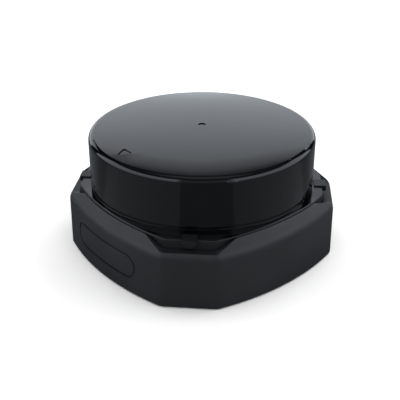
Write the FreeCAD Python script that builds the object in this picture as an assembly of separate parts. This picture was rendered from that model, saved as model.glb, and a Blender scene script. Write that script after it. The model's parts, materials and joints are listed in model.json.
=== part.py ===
import FreeCAD, Part
import math
import os

from FreeCAD import Vector

# Spinning laser range finder: a moulded base, a dark window cap and a turning optical head.
# Millimetres. +Z is up, the emblem's face looks along -Y and the cable socket along +Y.
# The origin is on the mounting face, on the axis that the head turns about.

# Fits between pieces
PRESS_GAP = 0.02
SEAT_GAP = 0.1
PART_GAP = 0.3

# Base housing
BASE_WIDTH = 77.0
BASE_HEIGHT = 20.0
FACE_CHORD = 47.2
FACE_BOW = 3.5
BASE_DRAFT = 0.4
EDGE_ROUND = 4.0
FOOT_CHAMFER = 0.5
RIM_CHAMFER_IN = 2.7
RIM_CHAMFER_DOWN = 3.2
RIM_BLEND = 3.5
RIM_LAND = 0.3
HOUSING_WALL = 2.0
INNER_WALL = 3.4
INNER_ROUND = 1.0
RECESS_ROUND = 2.0
DECK_DEPTH = 6.0
DECK_THICKNESS = 2.0
WELL_RADIUS = 34.0
DECK_BOSS_HEIGHT = 1.2

# Corner notches of the base
NOTCH_DEPTH = 2.5
NOTCH_FLOOR_WIDTH = 15.2
NOTCH_MOUTH_WIDTH = 25.3
NOTCH_ROUND = 4.0

# Emblem border on the front face
BORDER_WIDTH = 29.4
BORDER_HEIGHT = 7.7
BORDER_Z = 9.0
BORDER_LINE = 0.5
BORDER_DEPTH = 0.25

# Window cap
CAP_RADIUS = 34.8
CAP_TOP_RADIUS = 34.65
CAP_HEIGHT = 18.85
CAP_SKIRT = 2.6
CAP_CROWN_RADIUS = 390.0
CAP_EDGE_ROUND = 1.8
CAP_WALL = 1.6
REVEAL_HEIGHT = 0.55
REVEAL_DEPTH = 0.45
BEAD_HEIGHT = 0.6
NECK_RADIUS = 34.3
FLANGE_RADIUS = 38.3
FLANGE_STAND = 0.2
FLANGE_THICKNESS = 3.3
FLANGE_CHAMFER = 0.3
CENTRE_MARK_RADIUS = 1.2
ARROW_MARK_SIDE = 4.6
ARROW_MARK_PLACE = 28.7
ARROW_MARK_ROUND = 0.5
MARK_DEPTH = 0.3

# Latches that hold the cap's flange in the four corners
LATCH_WIDTH = 4.2
LATCH_TIP = 35.2
LATCH_REACH = 38.9
LATCH_STAND = 0.4
LATCH_DROP = 2.5
LATCH_SHANK_WIDTH = 2.4
LATCH_SHANK_DEPTH = 1.4

# Seals
GASKET_WIDTH = 0.8
WINDOW_GASKET_HEIGHT = 0.7
PLATE_GASKET_HEIGHT = 0.8

# Bottom plate with its screws and threaded inserts
PLATE_THICKNESS = 2.0
PLATE_GAP = 0.15
PLATE_SCREW_PLACE = 34.6
PLATE_SCREW_LENGTH = 7.0
PLATE_SCREW_RADIUS = 1.0
PLATE_SCREW_HEAD_RADIUS = 1.9
PLATE_SCREW_HEAD_HEIGHT = 1.1
PLATE_SCREW_SINK = 0.2
PLATE_SCREW_BOSS_RADIUS = 2.7
INSERT_SPACING = 40.0
INSERT_RADIUS = 2.1
INSERT_BORE_RADIUS = 1.05
INSERT_LENGTH = 4.0
INSERT_BOSS_WALL = 1.3
INSERT_BOSS_CAP = 0.6

# Main board
BOARD_Z = 5.2
BOARD_THICKNESS = 1.2
BOARD_RADIUS = 31.2
BOARD_TAB_WIDTH = 15.0
BOARD_TAB_REACH = 34.6
BOARD_POST_PLACE = 26.5
BOARD_POST_RADIUS = 2.2
CHIP_PLACE = 18.7
CHIP_HEIGHT = 1.2
CONTROLLER_SIZE = 9.0
CONTROLLER_ANGLE = 225.0
DRIVER_SIZE = 5.0
DRIVER_ANGLE = 315.0
INDUCTOR_SIZE = 6.0
INDUCTOR_HEIGHT = 3.0
INDUCTOR_ROUND = 1.0
INDUCTOR_PLACE = 21.2
INDUCTOR_ANGLE = 25.0
CAPACITOR_RADIUS = 2.4
CAPACITOR_HEIGHT = 4.0
CAPACITOR_COUNT = 3
CAPACITOR_PLACE = 23.1
CAPACITOR_ANGLE = 128.0
CAPACITOR_STEP = 16.0

# Cable socket in the back face
SOCKET_WIDTH = 9.0
SOCKET_HEIGHT = 4.0
SOCKET_DEPTH = 6.4
SOCKET_WALL = 0.6
SOCKET_RECESS = 1.4
SOCKET_MARGIN = 0.4
PIN_COUNT = 5
PIN_PITCH = 1.25
PIN_SIZE = 0.4
PIN_LENGTH = 4.0

# Bearings, tube and shaft
SHAFT_RADIUS = 3.0
SHAFT_BORE_RADIUS = 1.5
BEARING_RADIUS = 6.0
BEARING_WIDTH = 3.0
BEARING_RING_WALL = 0.8
BEARING_SHIELD = 0.3
TUBE_WALL = 1.6
TUBE_LIP = 0.8
TUBE_FLANGE_RADIUS = 12.0
TUBE_FLANGE_THICKNESS = 1.2
TUBE_RISE = 4.6
RETAINER_WIDTH = 0.6
RETAINER_THICKNESS = 0.4

# Motor
STATOR_RADIUS = 19.4
STATOR_THICKNESS = 2.6
STATOR_RING = 2.4
TOOTH_COUNT = 9
TOOTH_WIDTH = 2.2
TOOTH_SHOE = 1.4
TOOTH_SHOE_ARC = 33.0
WINDING_BUILD = 0.8
AIR_GAP = 0.5
MAGNET_THICKNESS = 1.7
MAGNET_HEIGHT = 3.4
BELL_WALL = 0.8
BELL_RUNNING_GAP = 0.8
BELL_CHAMFER = 0.4

# Coil pair that passes power to the head
COIL_INNER_RADIUS = 23.6
COIL_OUTER_RADIUS = 28.4
FERRITE_THICKNESS = 1.2
COIL_THICKNESS = 1.0
COIL_AIR_GAP = 1.4

# Turning head
TURNTABLE_RADIUS = 31.6
TURNTABLE_THICKNESS = 1.6
TURNTABLE_BOSS_RADIUS = 6.0
ENCODER_RADIUS = 31.0
ENCODER_WALL = 0.7
ENCODER_HEIGHT = 3.6
ENCODER_SLOTS = 24
ENCODER_SLOT_WIDTH = 2.0
ENCODER_SLOT_HEIGHT = 2.2
SENSOR_ARM = 0.9
SENSOR_GAP = 0.5
SENSOR_WIDTH = 5.0
SENSOR_ANGLE = 215.0

# Optics
BEAM_RISE = 7.2
EMITTER_X = -8.2
EMITTER_LENS_RADIUS = 3.4
RECEIVER_X = 7.4
RECEIVER_LENS_RADIUS = 5.0
BARREL_WALL = 1.2
BARREL_FRONT = -26.5
BARREL_BACK = -9.0
BARREL_LEDGE = 0.7
LENS_THICKNESS = 1.4
LENS_CROWN = 1.0
LENS_RECESS = 0.8
FILTER_THICKNESS = 0.6
FOOT_THICKNESS = 1.4
FOOT_WIDTH = 34.0
FOOT_DEPTH = 15.0
FRAME_WALL = 1.6
DETECTOR_BOARD_HEIGHT = 11.0
DETECTOR_BOARD_WIDTH = 30.0
DETECTOR_SIZE = 3.6
DETECTOR_DEPTH = 1.2
DIODE_RADIUS = 1.9
DIODE_FLANGE_RADIUS = 2.5
DIODE_FLANGE_THICKNESS = 0.8
DIODE_LENGTH = 2.6

# Head electronics and balance
HEAD_BOARD_RADIUS = 22.0
HEAD_BOARD_FRONT = -6.0
HEAD_BOARD_RISE = 1.2
HEAD_BOARD_THICKNESS = 1.0
HEAD_POST_RADIUS = 1.8
HEAD_POST_PLACE = 19.0
HEAD_CHIP_SIZE = 7.0
HEAD_CHIP_PLACE = 11.0
HEAD_CHIP_ANGLE = 45.0
LINK_RADIUS = 1.3
LINK_HEIGHT = 0.9
WEIGHT_INNER_RADIUS = 24.0
WEIGHT_OUTER_RADIUS = 30.6
WEIGHT_HEIGHT = 4.6
WEIGHT_ARC = 96.0
WEIGHT_ROUND = 1.0

# Places that follow from the sizes above
HALF_WIDTH = BASE_WIDTH / 2
BOW_RADIUS = ((FACE_CHORD / 2) ** 2 + FACE_BOW ** 2) / (2 * FACE_BOW)
CORNER_REACH = (FACE_CHORD / 2 + HALF_WIDTH - FACE_BOW) / math.sqrt(2)
DECK_TOP = BASE_HEIGHT - DECK_DEPTH
DECK_UNDER = DECK_TOP - DECK_THICKNESS
FLANGE_TOP = BASE_HEIGHT + FLANGE_STAND
FLANGE_LOW = FLANGE_TOP - FLANGE_THICKNESS
SEAT_Z = FLANGE_LOW - WINDOW_GASKET_HEIGHT
OPENING_INSET = RIM_CHAMFER_IN + RIM_LAND
OPENING_RADIUS = FLANGE_RADIUS + PART_GAP
BOARD_TOP = BOARD_Z + BOARD_THICKNESS
TUBE_BOTTOM = BOARD_TOP + LINK_HEIGHT + BELL_RUNNING_GAP
TUBE_TOP = DECK_TOP + TUBE_RISE
TUBE_RADIUS = BEARING_RADIUS + TUBE_WALL
STATOR_HUB_RADIUS = TUBE_RADIUS + STATOR_RING
LOWER_BEARING_Z = TUBE_BOTTOM + RETAINER_THICKNESS + PART_GAP
UPPER_BEARING_Z = TUBE_TOP - PART_GAP - BEARING_WIDTH
STATOR_Z = DECK_TOP + DECK_BOSS_HEIGHT
TURNTABLE_Z = STATOR_Z + STATOR_THICKNESS + WINDING_BUILD + BELL_RUNNING_GAP + BELL_WALL
TURNTABLE_TOP = TURNTABLE_Z + TURNTABLE_THICKNESS
BELL_INNER_RADIUS = STATOR_RADIUS + AIR_GAP + MAGNET_THICKNESS
BEAM_AXIS_Z = TURNTABLE_TOP + BEAM_RISE
LENS_BACK = BARREL_FRONT + LENS_RECESS + LENS_CROWN + LENS_THICKNESS
HEAD_BOARD_Z = TURNTABLE_TOP + HEAD_BOARD_RISE
CORNERS = [45, 135, 225, 315]


def disc(radius, height, z, x=0.0, y=0.0):
    """Upright cylinder standing at height z."""
    return Part.makeCylinder(radius, height, Vector(x, y, z))


def ring(outer, inner, height, z, x=0.0, y=0.0):
    """Upright tube standing at height z."""
    return disc(outer, height, z, x, y).cut(disc(inner, height, z, x, y))


def block(width, depth, height, x, y, z):
    """Box centred on x and y, standing at height z."""
    return Part.makeBox(width, depth, height, Vector(x - width / 2, y - depth / 2, z))


def turned(shape, degrees):
    """Copy of a shape turned about the head's axis."""
    copy = shape.copy()
    copy.rotate(Vector(0, 0, 0), Vector(0, 0, 1), degrees)
    return copy


def polar(radius, degrees):
    """Point at a radius and an angle about the head's axis, as x and y."""
    angle = math.radians(degrees)
    return radius * math.cos(angle), radius * math.sin(angle)


def fused(shapes):
    """One solid of several that meet."""
    first = shapes[0]
    whole = first.multiFuse(shapes[1:])
    return whole.removeSplitter()


def edges_at(shape, z, tolerance=0.001):
    """Edges that lie wholly at height z."""
    return [
        edge for edge in shape.Edges
        if abs(edge.BoundBox.ZMin - z) < tolerance and abs(edge.BoundBox.ZMax - z) < tolerance
    ]


def upright_edges(shape):
    """Edges that run from low to high with nearly the same x and y."""
    found = []
    for edge in shape.Edges:
        ends = [vertex.Point for vertex in edge.Vertexes]
        if len(ends) == 2 and abs(ends[0].z - ends[1].z) > SEAT_GAP:
            if math.hypot(ends[0].x - ends[1].x, ends[0].y - ends[1].y) < 1.0:
                found.append(edge)
    return found


def outline(inset, z):
    """Wire of the base seen from above: four bowed faces and four flat corners, set in by inset."""
    bow = BOW_RADIUS - inset
    bow_centre = BOW_RADIUS - HALF_WIDTH
    reach = math.sqrt(2) * (CORNER_REACH - inset)
    end_angle = math.asin((reach + bow_centre) / (bow * math.sqrt(2))) - math.radians(45)
    end_x = bow * math.sin(end_angle)
    end_y = bow_centre - bow * math.cos(end_angle)
    left = Vector(-end_x, end_y, z)
    middle = Vector(0, bow_centre - bow, z)
    right = Vector(end_x, end_y, z)
    corner_end = Vector(-end_y, -end_x, z)
    edges = []
    for quarter in range(4):
        face_arc = Part.Arc(left, middle, right).toShape()
        corner_line = Part.LineSegment(right, corner_end).toShape()
        edges.append(turned(face_arc, 90 * quarter))
        edges.append(turned(corner_line, 90 * quarter))
    return Part.Wire(edges)


def outline_prism(inset, low, high, corner_round):
    """Straight prism of the base's outline, set in by inset, with rounded upright edges."""
    body = Part.Face(outline(inset, low)).extrude(Vector(0, 0, high - low))
    return body.makeFillet(corner_round, upright_edges(body))


def corner_frustum(inset):
    """Pyramid stump whose four drafted sides are the flats at the base's corners."""
    low = CORNER_REACH - inset
    high = low - BASE_DRAFT
    stump = Part.makeWedge(-low, 0, -low, -high, -high, low, BASE_HEIGHT, low, high, high)
    stump.rotate(Vector(0, 0, 0), Vector(1, 0, 0), 90)
    return turned(stump, CORNERS[0])


def housing_shell(inset):
    """Outer body of the base: four bowed, drafted faces, which are cones, and four corner flats."""
    radius = BOW_RADIUS - inset
    face_centre = Vector(0, BOW_RADIUS - HALF_WIDTH, 0)
    face = Part.makeCone(radius, radius - BASE_DRAFT, BASE_HEIGHT, face_centre)
    body = corner_frustum(inset)
    for quarter in range(4):
        body = body.common(turned(face, 90 * quarter))
    return body.makeFillet(EDGE_ROUND, upright_edges(body))


def housing_outside():
    """Outer body with its rim chamfer blended into the walls."""
    body = housing_shell(0)
    chamfered = body.makeChamfer(RIM_CHAMFER_DOWN, RIM_CHAMFER_IN, edges_at(body, BASE_HEIGHT))
    chamfer_foot = BASE_HEIGHT - RIM_CHAMFER_DOWN
    blended = chamfered.makeFillet(RIM_BLEND, edges_at(chamfered, chamfer_foot, 0.05))
    return blended.makeChamfer(FOOT_CHAMFER, edges_at(blended, 0))


def emblem_border():
    """Shallow stadium-shaped line on the front face, as a cutting tool."""
    def stadium(width, height):
        straight = width - height
        bar = block(straight, HALF_WIDTH, height, 0, -HALF_WIDTH / 2, BORDER_Z - height / 2)
        ends = [
            Part.makeCylinder(height / 2, HALF_WIDTH, Vector(x, -HALF_WIDTH, BORDER_Z), Vector(0, 1, 0))
            for x in (-straight / 2, straight / 2)
        ]
        return fused([bar] + ends)
    line = stadium(BORDER_WIDTH, BORDER_HEIGHT).cut(
        stadium(BORDER_WIDTH - 2 * BORDER_LINE, BORDER_HEIGHT - 2 * BORDER_LINE))
    return line.cut(housing_shell(BORDER_DEPTH))


def corner_notch():
    """Cutting tool for the corner on the +X axis: a channel with a flat floor and sloped sides."""
    floor = BASE_HEIGHT - NOTCH_DEPTH
    half_floor = NOTCH_FLOOR_WIDTH / 2
    slope = (NOTCH_MOUTH_WIDTH - NOTCH_FLOOR_WIDTH) / 2 / NOTCH_DEPTH
    high = NOTCH_DEPTH * 2
    half_mouth = half_floor + slope * high
    corners = [
        Vector(WELL_RADIUS, -half_floor, floor),
        Vector(WELL_RADIUS, half_floor, floor),
        Vector(WELL_RADIUS, half_mouth, floor + high),
        Vector(WELL_RADIUS, -half_mouth, floor + high),
    ]
    section = Part.Face(Part.makePolygon(corners + corners[:1]))
    channel = section.extrude(Vector(CORNER_REACH, 0, 0))
    return channel.makeFillet(NOTCH_ROUND, floor_sides(channel, floor))


def floor_sides(shape, z):
    """Edges along the X axis at height z."""
    return [
        edge for edge in edges_at(shape, z)
        if abs(edge.BoundBox.YMax - edge.BoundBox.YMin) < 0.001
    ]


def cap_opening(clearance, low, high):
    """Outline of the opening that the cap's flange drops into, as a solid: a circle cut off by the faces."""
    circle = disc(OPENING_RADIUS - clearance, high - low, low)
    faces = outline_prism(OPENING_INSET + BASE_DRAFT + clearance, low, high, 1.0)
    return circle.common(faces)


def latch_shank(clearance):
    """Upright arm of the latch on the +X axis, from the seat into the latch's head."""
    width = LATCH_SHANK_WIDTH + 2 * clearance
    depth = LATCH_SHANK_DEPTH + 2 * clearance
    return block(depth, width, FLANGE_TOP - SEAT_Z, (LATCH_TIP + LATCH_REACH) / 2, 0, SEAT_Z)


def latch_head(clearance):
    """Rounded head of the latch on the +X axis: it lies over the flange and hangs down its side."""
    width = LATCH_WIDTH + 2 * clearance
    top = FLANGE_TOP + LATCH_STAND
    start = LATCH_TIP - clearance
    depth = LATCH_REACH + clearance - start
    round_z = top - LATCH_DROP + LATCH_WIDTH / 2
    middle = start + depth / 2
    upper = block(depth, width, top - round_z, middle, 0, round_z)
    lower = Part.makeCylinder(width / 2, depth, Vector(start, 0, round_z), Vector(1, 0, 0))
    lower_half = lower.common(block(depth, width, width / 2, middle, 0, round_z - width / 2))
    return fused([upper, lower_half])


def latch(clearance):
    """Whole latch on the +X axis; with a clearance it is the tool that makes room for it in the cap."""
    return fused([latch_shank(clearance), latch_head(clearance)])


def socket_window(margin):
    """Opening for the cable socket through the back wall, with rounded corners."""
    width = SOCKET_WIDTH + 2 * margin
    height = SOCKET_HEIGHT + 2 * margin
    window = block(width, INNER_WALL * 3, height, 0, HALF_WIDTH, BOARD_TOP - margin)
    sides = [edge for edge in window.Edges if edge.BoundBox.YMax - edge.BoundBox.YMin > INNER_WALL]
    return window.makeFillet(SOCKET_WALL, sides)


def make_base_housing():
    """Moulded base: drafted walls, chamfered rim, four notches, a deck for the motor and four latches."""
    body = housing_outside()
    ledge_z = PLATE_THICKNESS + PLATE_GASKET_HEIGHT
    body = body.cut([
        outline_prism(INNER_WALL, ledge_z, DECK_UNDER, INNER_ROUND),
        outline_prism(HOUSING_WALL, 0, ledge_z, RECESS_ROUND),
        disc(WELL_RADIUS, SEAT_Z - DECK_TOP, DECK_TOP),
        cap_opening(0, SEAT_Z, BASE_HEIGHT + NOTCH_DEPTH),
        emblem_border(),
        socket_window(SOCKET_MARGIN),
    ])
    body = body.cut([turned(corner_notch(), corner) for corner in CORNERS])
    deck_boss = disc(STATOR_HUB_RADIUS, DECK_BOSS_HEIGHT, DECK_TOP)
    screw_boss_height = DECK_UNDER - PLATE_THICKNESS
    screw_boss = disc(PLATE_SCREW_BOSS_RADIUS, screw_boss_height, PLATE_THICKNESS, PLATE_SCREW_PLACE)
    additions = [deck_boss]
    for corner in CORNERS:
        additions.append(turned(screw_boss, corner))
        additions.append(turned(latch(0), corner))
    body = fused([body] + additions)
    holes = [disc(TUBE_RADIUS + PRESS_GAP, DECK_THICKNESS + DECK_BOSS_HEIGHT, DECK_UNDER)]
    for corner in CORNERS:
        x, y = polar(PLATE_SCREW_PLACE, corner)
        holes.append(disc(PLATE_SCREW_RADIUS + PRESS_GAP, PLATE_SCREW_LENGTH, PLATE_THICKNESS, x, y))
    return body.cut(holes)


def make_bottom_plate():
    """Closing plate with posts for the board, bosses for the inserts and counterbores for its screws."""
    plate = outline_prism(HOUSING_WALL + PLATE_GAP, 0, PLATE_THICKNESS, RECESS_ROUND)
    posts = [
        disc(BOARD_POST_RADIUS, BOARD_Z - PLATE_THICKNESS, PLATE_THICKNESS, x, y)
        for x, y in board_post_places()
    ]
    boss_height = INSERT_LENGTH + INSERT_BOSS_CAP - PLATE_THICKNESS
    bosses = [
        disc(INSERT_RADIUS + INSERT_BOSS_WALL, boss_height, PLATE_THICKNESS, x, y)
        for x, y in insert_places()
    ]
    plate = fused([plate] + posts + bosses)
    holes = [disc(INSERT_RADIUS + PRESS_GAP, INSERT_LENGTH, 0, x, y) for x, y in insert_places()]
    for corner in CORNERS:
        x, y = polar(PLATE_SCREW_PLACE, corner)
        head_depth = PLATE_SCREW_SINK + PLATE_SCREW_HEAD_HEIGHT
        holes.append(disc(PLATE_SCREW_HEAD_RADIUS + SEAT_GAP, head_depth, 0, x, y))
        holes.append(disc(PLATE_SCREW_RADIUS + SEAT_GAP, PLATE_THICKNESS, 0, x, y))
    return plate.cut(holes)


def make_plate_gasket():
    """Flat frame-shaped seal between the bottom plate and the base."""
    top = PLATE_THICKNESS + PLATE_GASKET_HEIGHT
    outer = outline_prism(HOUSING_WALL + PLATE_GAP, PLATE_THICKNESS, top, RECESS_ROUND)
    inner = outline_prism(INNER_WALL, PLATE_THICKNESS, top, INNER_ROUND)
    return outer.cut(inner)


def plate_screw(x, y):
    """Cap screw that points up, with a hexagon socket in its head."""
    shank = disc(PLATE_SCREW_RADIUS, PLATE_SCREW_LENGTH, PLATE_SCREW_SINK + PLATE_SCREW_HEAD_HEIGHT, x, y)
    head = disc(PLATE_SCREW_HEAD_RADIUS, PLATE_SCREW_HEAD_HEIGHT, PLATE_SCREW_SINK, x, y)
    flats = []
    for side in range(7):
        px, py = polar(PLATE_SCREW_HEAD_RADIUS / 2, 60 * side)
        flats.append(Vector(x + px, y + py, PLATE_SCREW_SINK))
    socket = Part.Face(Part.makePolygon(flats)).extrude(Vector(0, 0, PLATE_SCREW_HEAD_HEIGHT / 2))
    return fused([shank, head]).cut(socket)


def insert_places():
    """Centres of the threaded inserts, as x and y."""
    half = INSERT_SPACING / 2
    return [(half, half), (-half, half), (-half, -half), (half, -half)]


def board_post_places():
    """Centres of the posts under the main board, as x and y."""
    return [polar(BOARD_POST_PLACE, 90 * quarter) for quarter in range(4)]



def make_plate_screws():
    """Screws that hold the bottom plate to the base."""
    return Part.makeCompound([plate_screw(*polar(PLATE_SCREW_PLACE, corner)) for corner in CORNERS])


def make_mounting_inserts():
    """Brass threaded inserts, open at the mounting face."""
    return Part.makeCompound([
        ring(INSERT_RADIUS, INSERT_BORE_RADIUS, INSERT_LENGTH, 0, x, y) for x, y in insert_places()
    ])


def revolved(edges):
    """Solid of revolution about the head's axis from a closed profile in the XZ plane."""
    return Part.Face(Part.Wire(edges)).revolve(Vector(0, 0, 0), Vector(0, 0, 1), 360)


def crown_z(radius, apex):
    """Height of the shallow spherical top at a distance from the axis."""
    return apex - CAP_CROWN_RADIUS + math.sqrt(CAP_CROWN_RADIUS ** 2 - radius ** 2)


def dome(apex):
    """Window's outside: a tapered wall, a round edge tangent to it, and the shallow spherical top."""
    low = Vector(CAP_RADIUS, 0, BASE_HEIGHT + CAP_SKIRT)
    up = (Vector(CAP_TOP_RADIUS, 0, crown_z(CAP_TOP_RADIUS, apex)) - low).normalize()
    inward = Vector(-up.z, 0, up.x)
    crown_centre = Vector(0, 0, apex - CAP_CROWN_RADIUS)
    start = low + inward * CAP_EDGE_ROUND - crown_centre
    along = start.dot(up)
    reach = CAP_CROWN_RADIUS - CAP_EDGE_ROUND
    travel = math.sqrt(along ** 2 - start.dot(start) + reach ** 2) - along
    round_centre = crown_centre + start + up * travel
    crown_way = (round_centre - crown_centre).normalize()
    wall_end = round_centre - inward * CAP_EDGE_ROUND
    round_middle = round_centre + (crown_way - inward).normalize() * CAP_EDGE_ROUND
    round_end = crown_centre + crown_way * CAP_CROWN_RADIUS
    crown_middle = Vector(round_end.x / 2, 0, crown_z(round_end.x / 2, apex))
    top = Vector(0, 0, apex)
    foot = Vector(0, 0, low.z)
    return revolved([
        Part.LineSegment(foot, low).toShape(),
        Part.LineSegment(low, wall_end).toShape(),
        Part.Arc(wall_end, round_middle, round_end).toShape(),
        Part.Arc(round_end, crown_middle, top).toShape(),
        Part.LineSegment(top, foot).toShape(),
    ])


def cap_room(apex):
    """Space inside the cap: a tapered wall and a shallow cone under the spherical top."""
    radius = CAP_RADIUS - CAP_WALL
    top_radius = CAP_TOP_RADIUS - CAP_WALL
    section = Part.makePolygon([
        Vector(0, 0, FLANGE_LOW),
        Vector(radius, 0, FLANGE_LOW),
        Vector(top_radius, 0, crown_z(top_radius, apex) - CAP_WALL),
        Vector(0, 0, apex - CAP_WALL),
        Vector(0, 0, FLANGE_LOW),
    ])
    return revolved(section.Edges)


def arrow_mark(apex):
    """Shallow triangle near the cap's edge that points along -Y, as a cutting tool."""
    circumradius = ARROW_MARK_SIDE / math.sqrt(3)
    corners = []
    for number in range(4):
        x, y = polar(circumradius, 120 * number - 90)
        corners.append(Vector(x, y - ARROW_MARK_PLACE, apex - 2 * CAP_WALL))
    prism = Part.Face(Part.makePolygon(corners)).extrude(Vector(0, 0, 3 * CAP_WALL))
    prism = prism.makeFillet(ARROW_MARK_ROUND, upright_edges(prism))
    return prism


def make_window_cap():
    """Dark cap: domed window, reveal line, bead, neck and the flange that drops into the base."""
    apex = BASE_HEIGHT + CAP_HEIGHT
    skirt_z = BASE_HEIGHT + CAP_SKIRT
    bead_top = skirt_z - REVEAL_HEIGHT
    bead_low = bead_top - BEAD_HEIGHT
    outside = dome(apex)
    reveal = disc(CAP_RADIUS - REVEAL_DEPTH, REVEAL_HEIGHT, bead_top)
    bead = disc(CAP_RADIUS, BEAD_HEIGHT, bead_low)
    neck = disc(NECK_RADIUS, bead_low - FLANGE_TOP, FLANGE_TOP)
    flange = cap_opening(PART_GAP, FLANGE_LOW, FLANGE_TOP)
    flange = flange.makeChamfer(FLANGE_CHAMFER, edges_at(flange, FLANGE_TOP))
    whole = fused([outside, reveal, bead, neck, flange])
    skin = dome(apex - MARK_DEPTH)
    marks = [disc(CENTRE_MARK_RADIUS, CAP_WALL, apex - CAP_WALL), arrow_mark(apex)]
    tools = [cap_room(apex)] + [mark.cut(skin) for mark in marks]
    tools += [turned(latch(SEAT_GAP), corner) for corner in CORNERS]
    return whole.cut(tools)


def make_window_gasket():
    """Flat rubber ring between the base's seat and the cap's flange."""
    inner = WELL_RADIUS + SEAT_GAP
    return ring(inner + GASKET_WIDTH, inner, WINDOW_GASKET_HEIGHT, SEAT_Z)


def make_main_board():
    """Round circuit board with a tab that carries the cable socket."""
    board = disc(BOARD_RADIUS, BOARD_THICKNESS, BOARD_Z)
    tab = block(BOARD_TAB_WIDTH, BOARD_TAB_REACH, BOARD_THICKNESS, 0, BOARD_TAB_REACH / 2, BOARD_Z)
    return fused([board, tab])



def make_controller_chip():
    """Processor on the main board."""
    x, y = polar(CHIP_PLACE, CONTROLLER_ANGLE)
    return block(CONTROLLER_SIZE, CONTROLLER_SIZE, CHIP_HEIGHT, x, y, BOARD_TOP)


def make_motor_driver():
    """Motor driver chip on the main board."""
    x, y = polar(CHIP_PLACE, DRIVER_ANGLE)
    return block(DRIVER_SIZE, DRIVER_SIZE, CHIP_HEIGHT, x, y, BOARD_TOP)


def make_power_inductor():
    """Moulded power inductor on the main board, with rounded upright edges."""
    x, y = polar(INDUCTOR_PLACE, INDUCTOR_ANGLE)
    body = block(INDUCTOR_SIZE, INDUCTOR_SIZE, INDUCTOR_HEIGHT, x, y, BOARD_TOP)
    return body.makeFillet(INDUCTOR_ROUND, upright_edges(body))


def make_board_capacitors():
    """Row of can capacitors on the main board."""
    cans = []
    for number in range(CAPACITOR_COUNT):
        x, y = polar(CAPACITOR_PLACE, CAPACITOR_ANGLE + CAPACITOR_STEP * number)
        cans.append(disc(CAPACITOR_RADIUS, CAPACITOR_HEIGHT, BOARD_TOP, x, y))
    return Part.makeCompound(cans)


def make_cable_socket():
    """Socket for the cable's plug: a box open towards the back, standing on the board's tab."""
    front = HALF_WIDTH - SOCKET_RECESS
    body = block(SOCKET_WIDTH, SOCKET_DEPTH, SOCKET_HEIGHT, 0, front - SOCKET_DEPTH / 2, BOARD_TOP)
    width = SOCKET_WIDTH - 2 * SOCKET_WALL
    height = SOCKET_HEIGHT - 2 * SOCKET_WALL
    depth = SOCKET_DEPTH - 2 * SOCKET_WALL
    cavity = block(width, depth, height, 0, front - depth / 2, BOARD_TOP + SOCKET_WALL)
    return body.cut([cavity] + socket_pin_blocks(PRESS_GAP))


def socket_pin_blocks(gap):
    """Square pins in a row, from the socket's back wall towards its mouth."""
    start = HALF_WIDTH - SOCKET_RECESS - SOCKET_DEPTH
    size = PIN_SIZE + 2 * gap
    return [
        block(size, PIN_LENGTH, size, PIN_PITCH * (number - (PIN_COUNT - 1) / 2), start + PIN_LENGTH / 2,
              BOARD_TOP + SOCKET_HEIGHT / 2 - size / 2)
        for number in range(PIN_COUNT)
    ]


def make_socket_pins():
    """Gold-plated pins of the cable socket."""
    return Part.makeCompound(socket_pin_blocks(0))


def make_link_receiver():
    """Light receiver under the hollow shaft, for the head's data."""
    return disc(LINK_RADIUS, LINK_HEIGHT, BOARD_TOP)


def make_bearing_tube():
    """Turned tube that holds both bearings, with a flange under the deck."""
    tube = disc(TUBE_RADIUS, TUBE_TOP - TUBE_BOTTOM, TUBE_BOTTOM)
    flange = disc(TUBE_FLANGE_RADIUS, TUBE_FLANGE_THICKNESS, DECK_UNDER - TUBE_FLANGE_THICKNESS)
    tube = fused([tube, flange])
    seat = BEARING_RADIUS + PRESS_GAP
    bores = [
        disc(BEARING_RADIUS - TUBE_LIP, TUBE_TOP - TUBE_BOTTOM, TUBE_BOTTOM),
        disc(seat, LOWER_BEARING_Z + BEARING_WIDTH - TUBE_BOTTOM, TUBE_BOTTOM),
        disc(seat, TUBE_TOP - UPPER_BEARING_Z, UPPER_BEARING_Z),
    ]
    return tube.cut(bores)






def outer_ring(z):
    """Outer ring of a bearing with the two shields that close its ball room."""
    shielded = ring(BEARING_RADIUS, SHAFT_RADIUS + BEARING_RING_WALL + PART_GAP, BEARING_WIDTH, z)
    room = disc(BEARING_RADIUS - BEARING_RING_WALL, BEARING_WIDTH - 2 * BEARING_SHIELD, z + BEARING_SHIELD)
    return shielded.cut(room)


def inner_ring(z):
    """Inner ring of a bearing, pressed on the shaft."""
    return ring(SHAFT_RADIUS + BEARING_RING_WALL, SHAFT_RADIUS + PRESS_GAP, BEARING_WIDTH, z)


def tooth_sector(inner, outer, degrees, low, high):
    """Ring sector centred on the +X axis."""
    sector = Part.makeCylinder(outer, high - low, Vector(0, 0, low), Vector(0, 0, 1), degrees)
    return turned(sector.cut(disc(inner, high - low, low)), -degrees / 2)


def make_stator_core():
    """Stack of steel laminations: a ring with teeth that end in wide shoes."""
    hub = disc(STATOR_HUB_RADIUS, STATOR_THICKNESS, STATOR_Z)
    step = 360 / TOOTH_COUNT
    shoe_inner = STATOR_RADIUS - TOOTH_SHOE
    bar_length = shoe_inner + TOOTH_SHOE / 2 - TUBE_RADIUS
    bar = block(bar_length, TOOTH_WIDTH, STATOR_THICKNESS, TUBE_RADIUS + bar_length / 2, 0, STATOR_Z)
    shoe = tooth_sector(shoe_inner, STATOR_RADIUS, TOOTH_SHOE_ARC, STATOR_Z, STATOR_Z + STATOR_THICKNESS)
    teeth = []
    for number in range(TOOTH_COUNT):
        teeth.append(turned(bar, step * number))
        teeth.append(turned(shoe, step * number))
    return fused([hub] + teeth).cut(disc(TUBE_RADIUS + PRESS_GAP, STATOR_THICKNESS, STATOR_Z))


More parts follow.
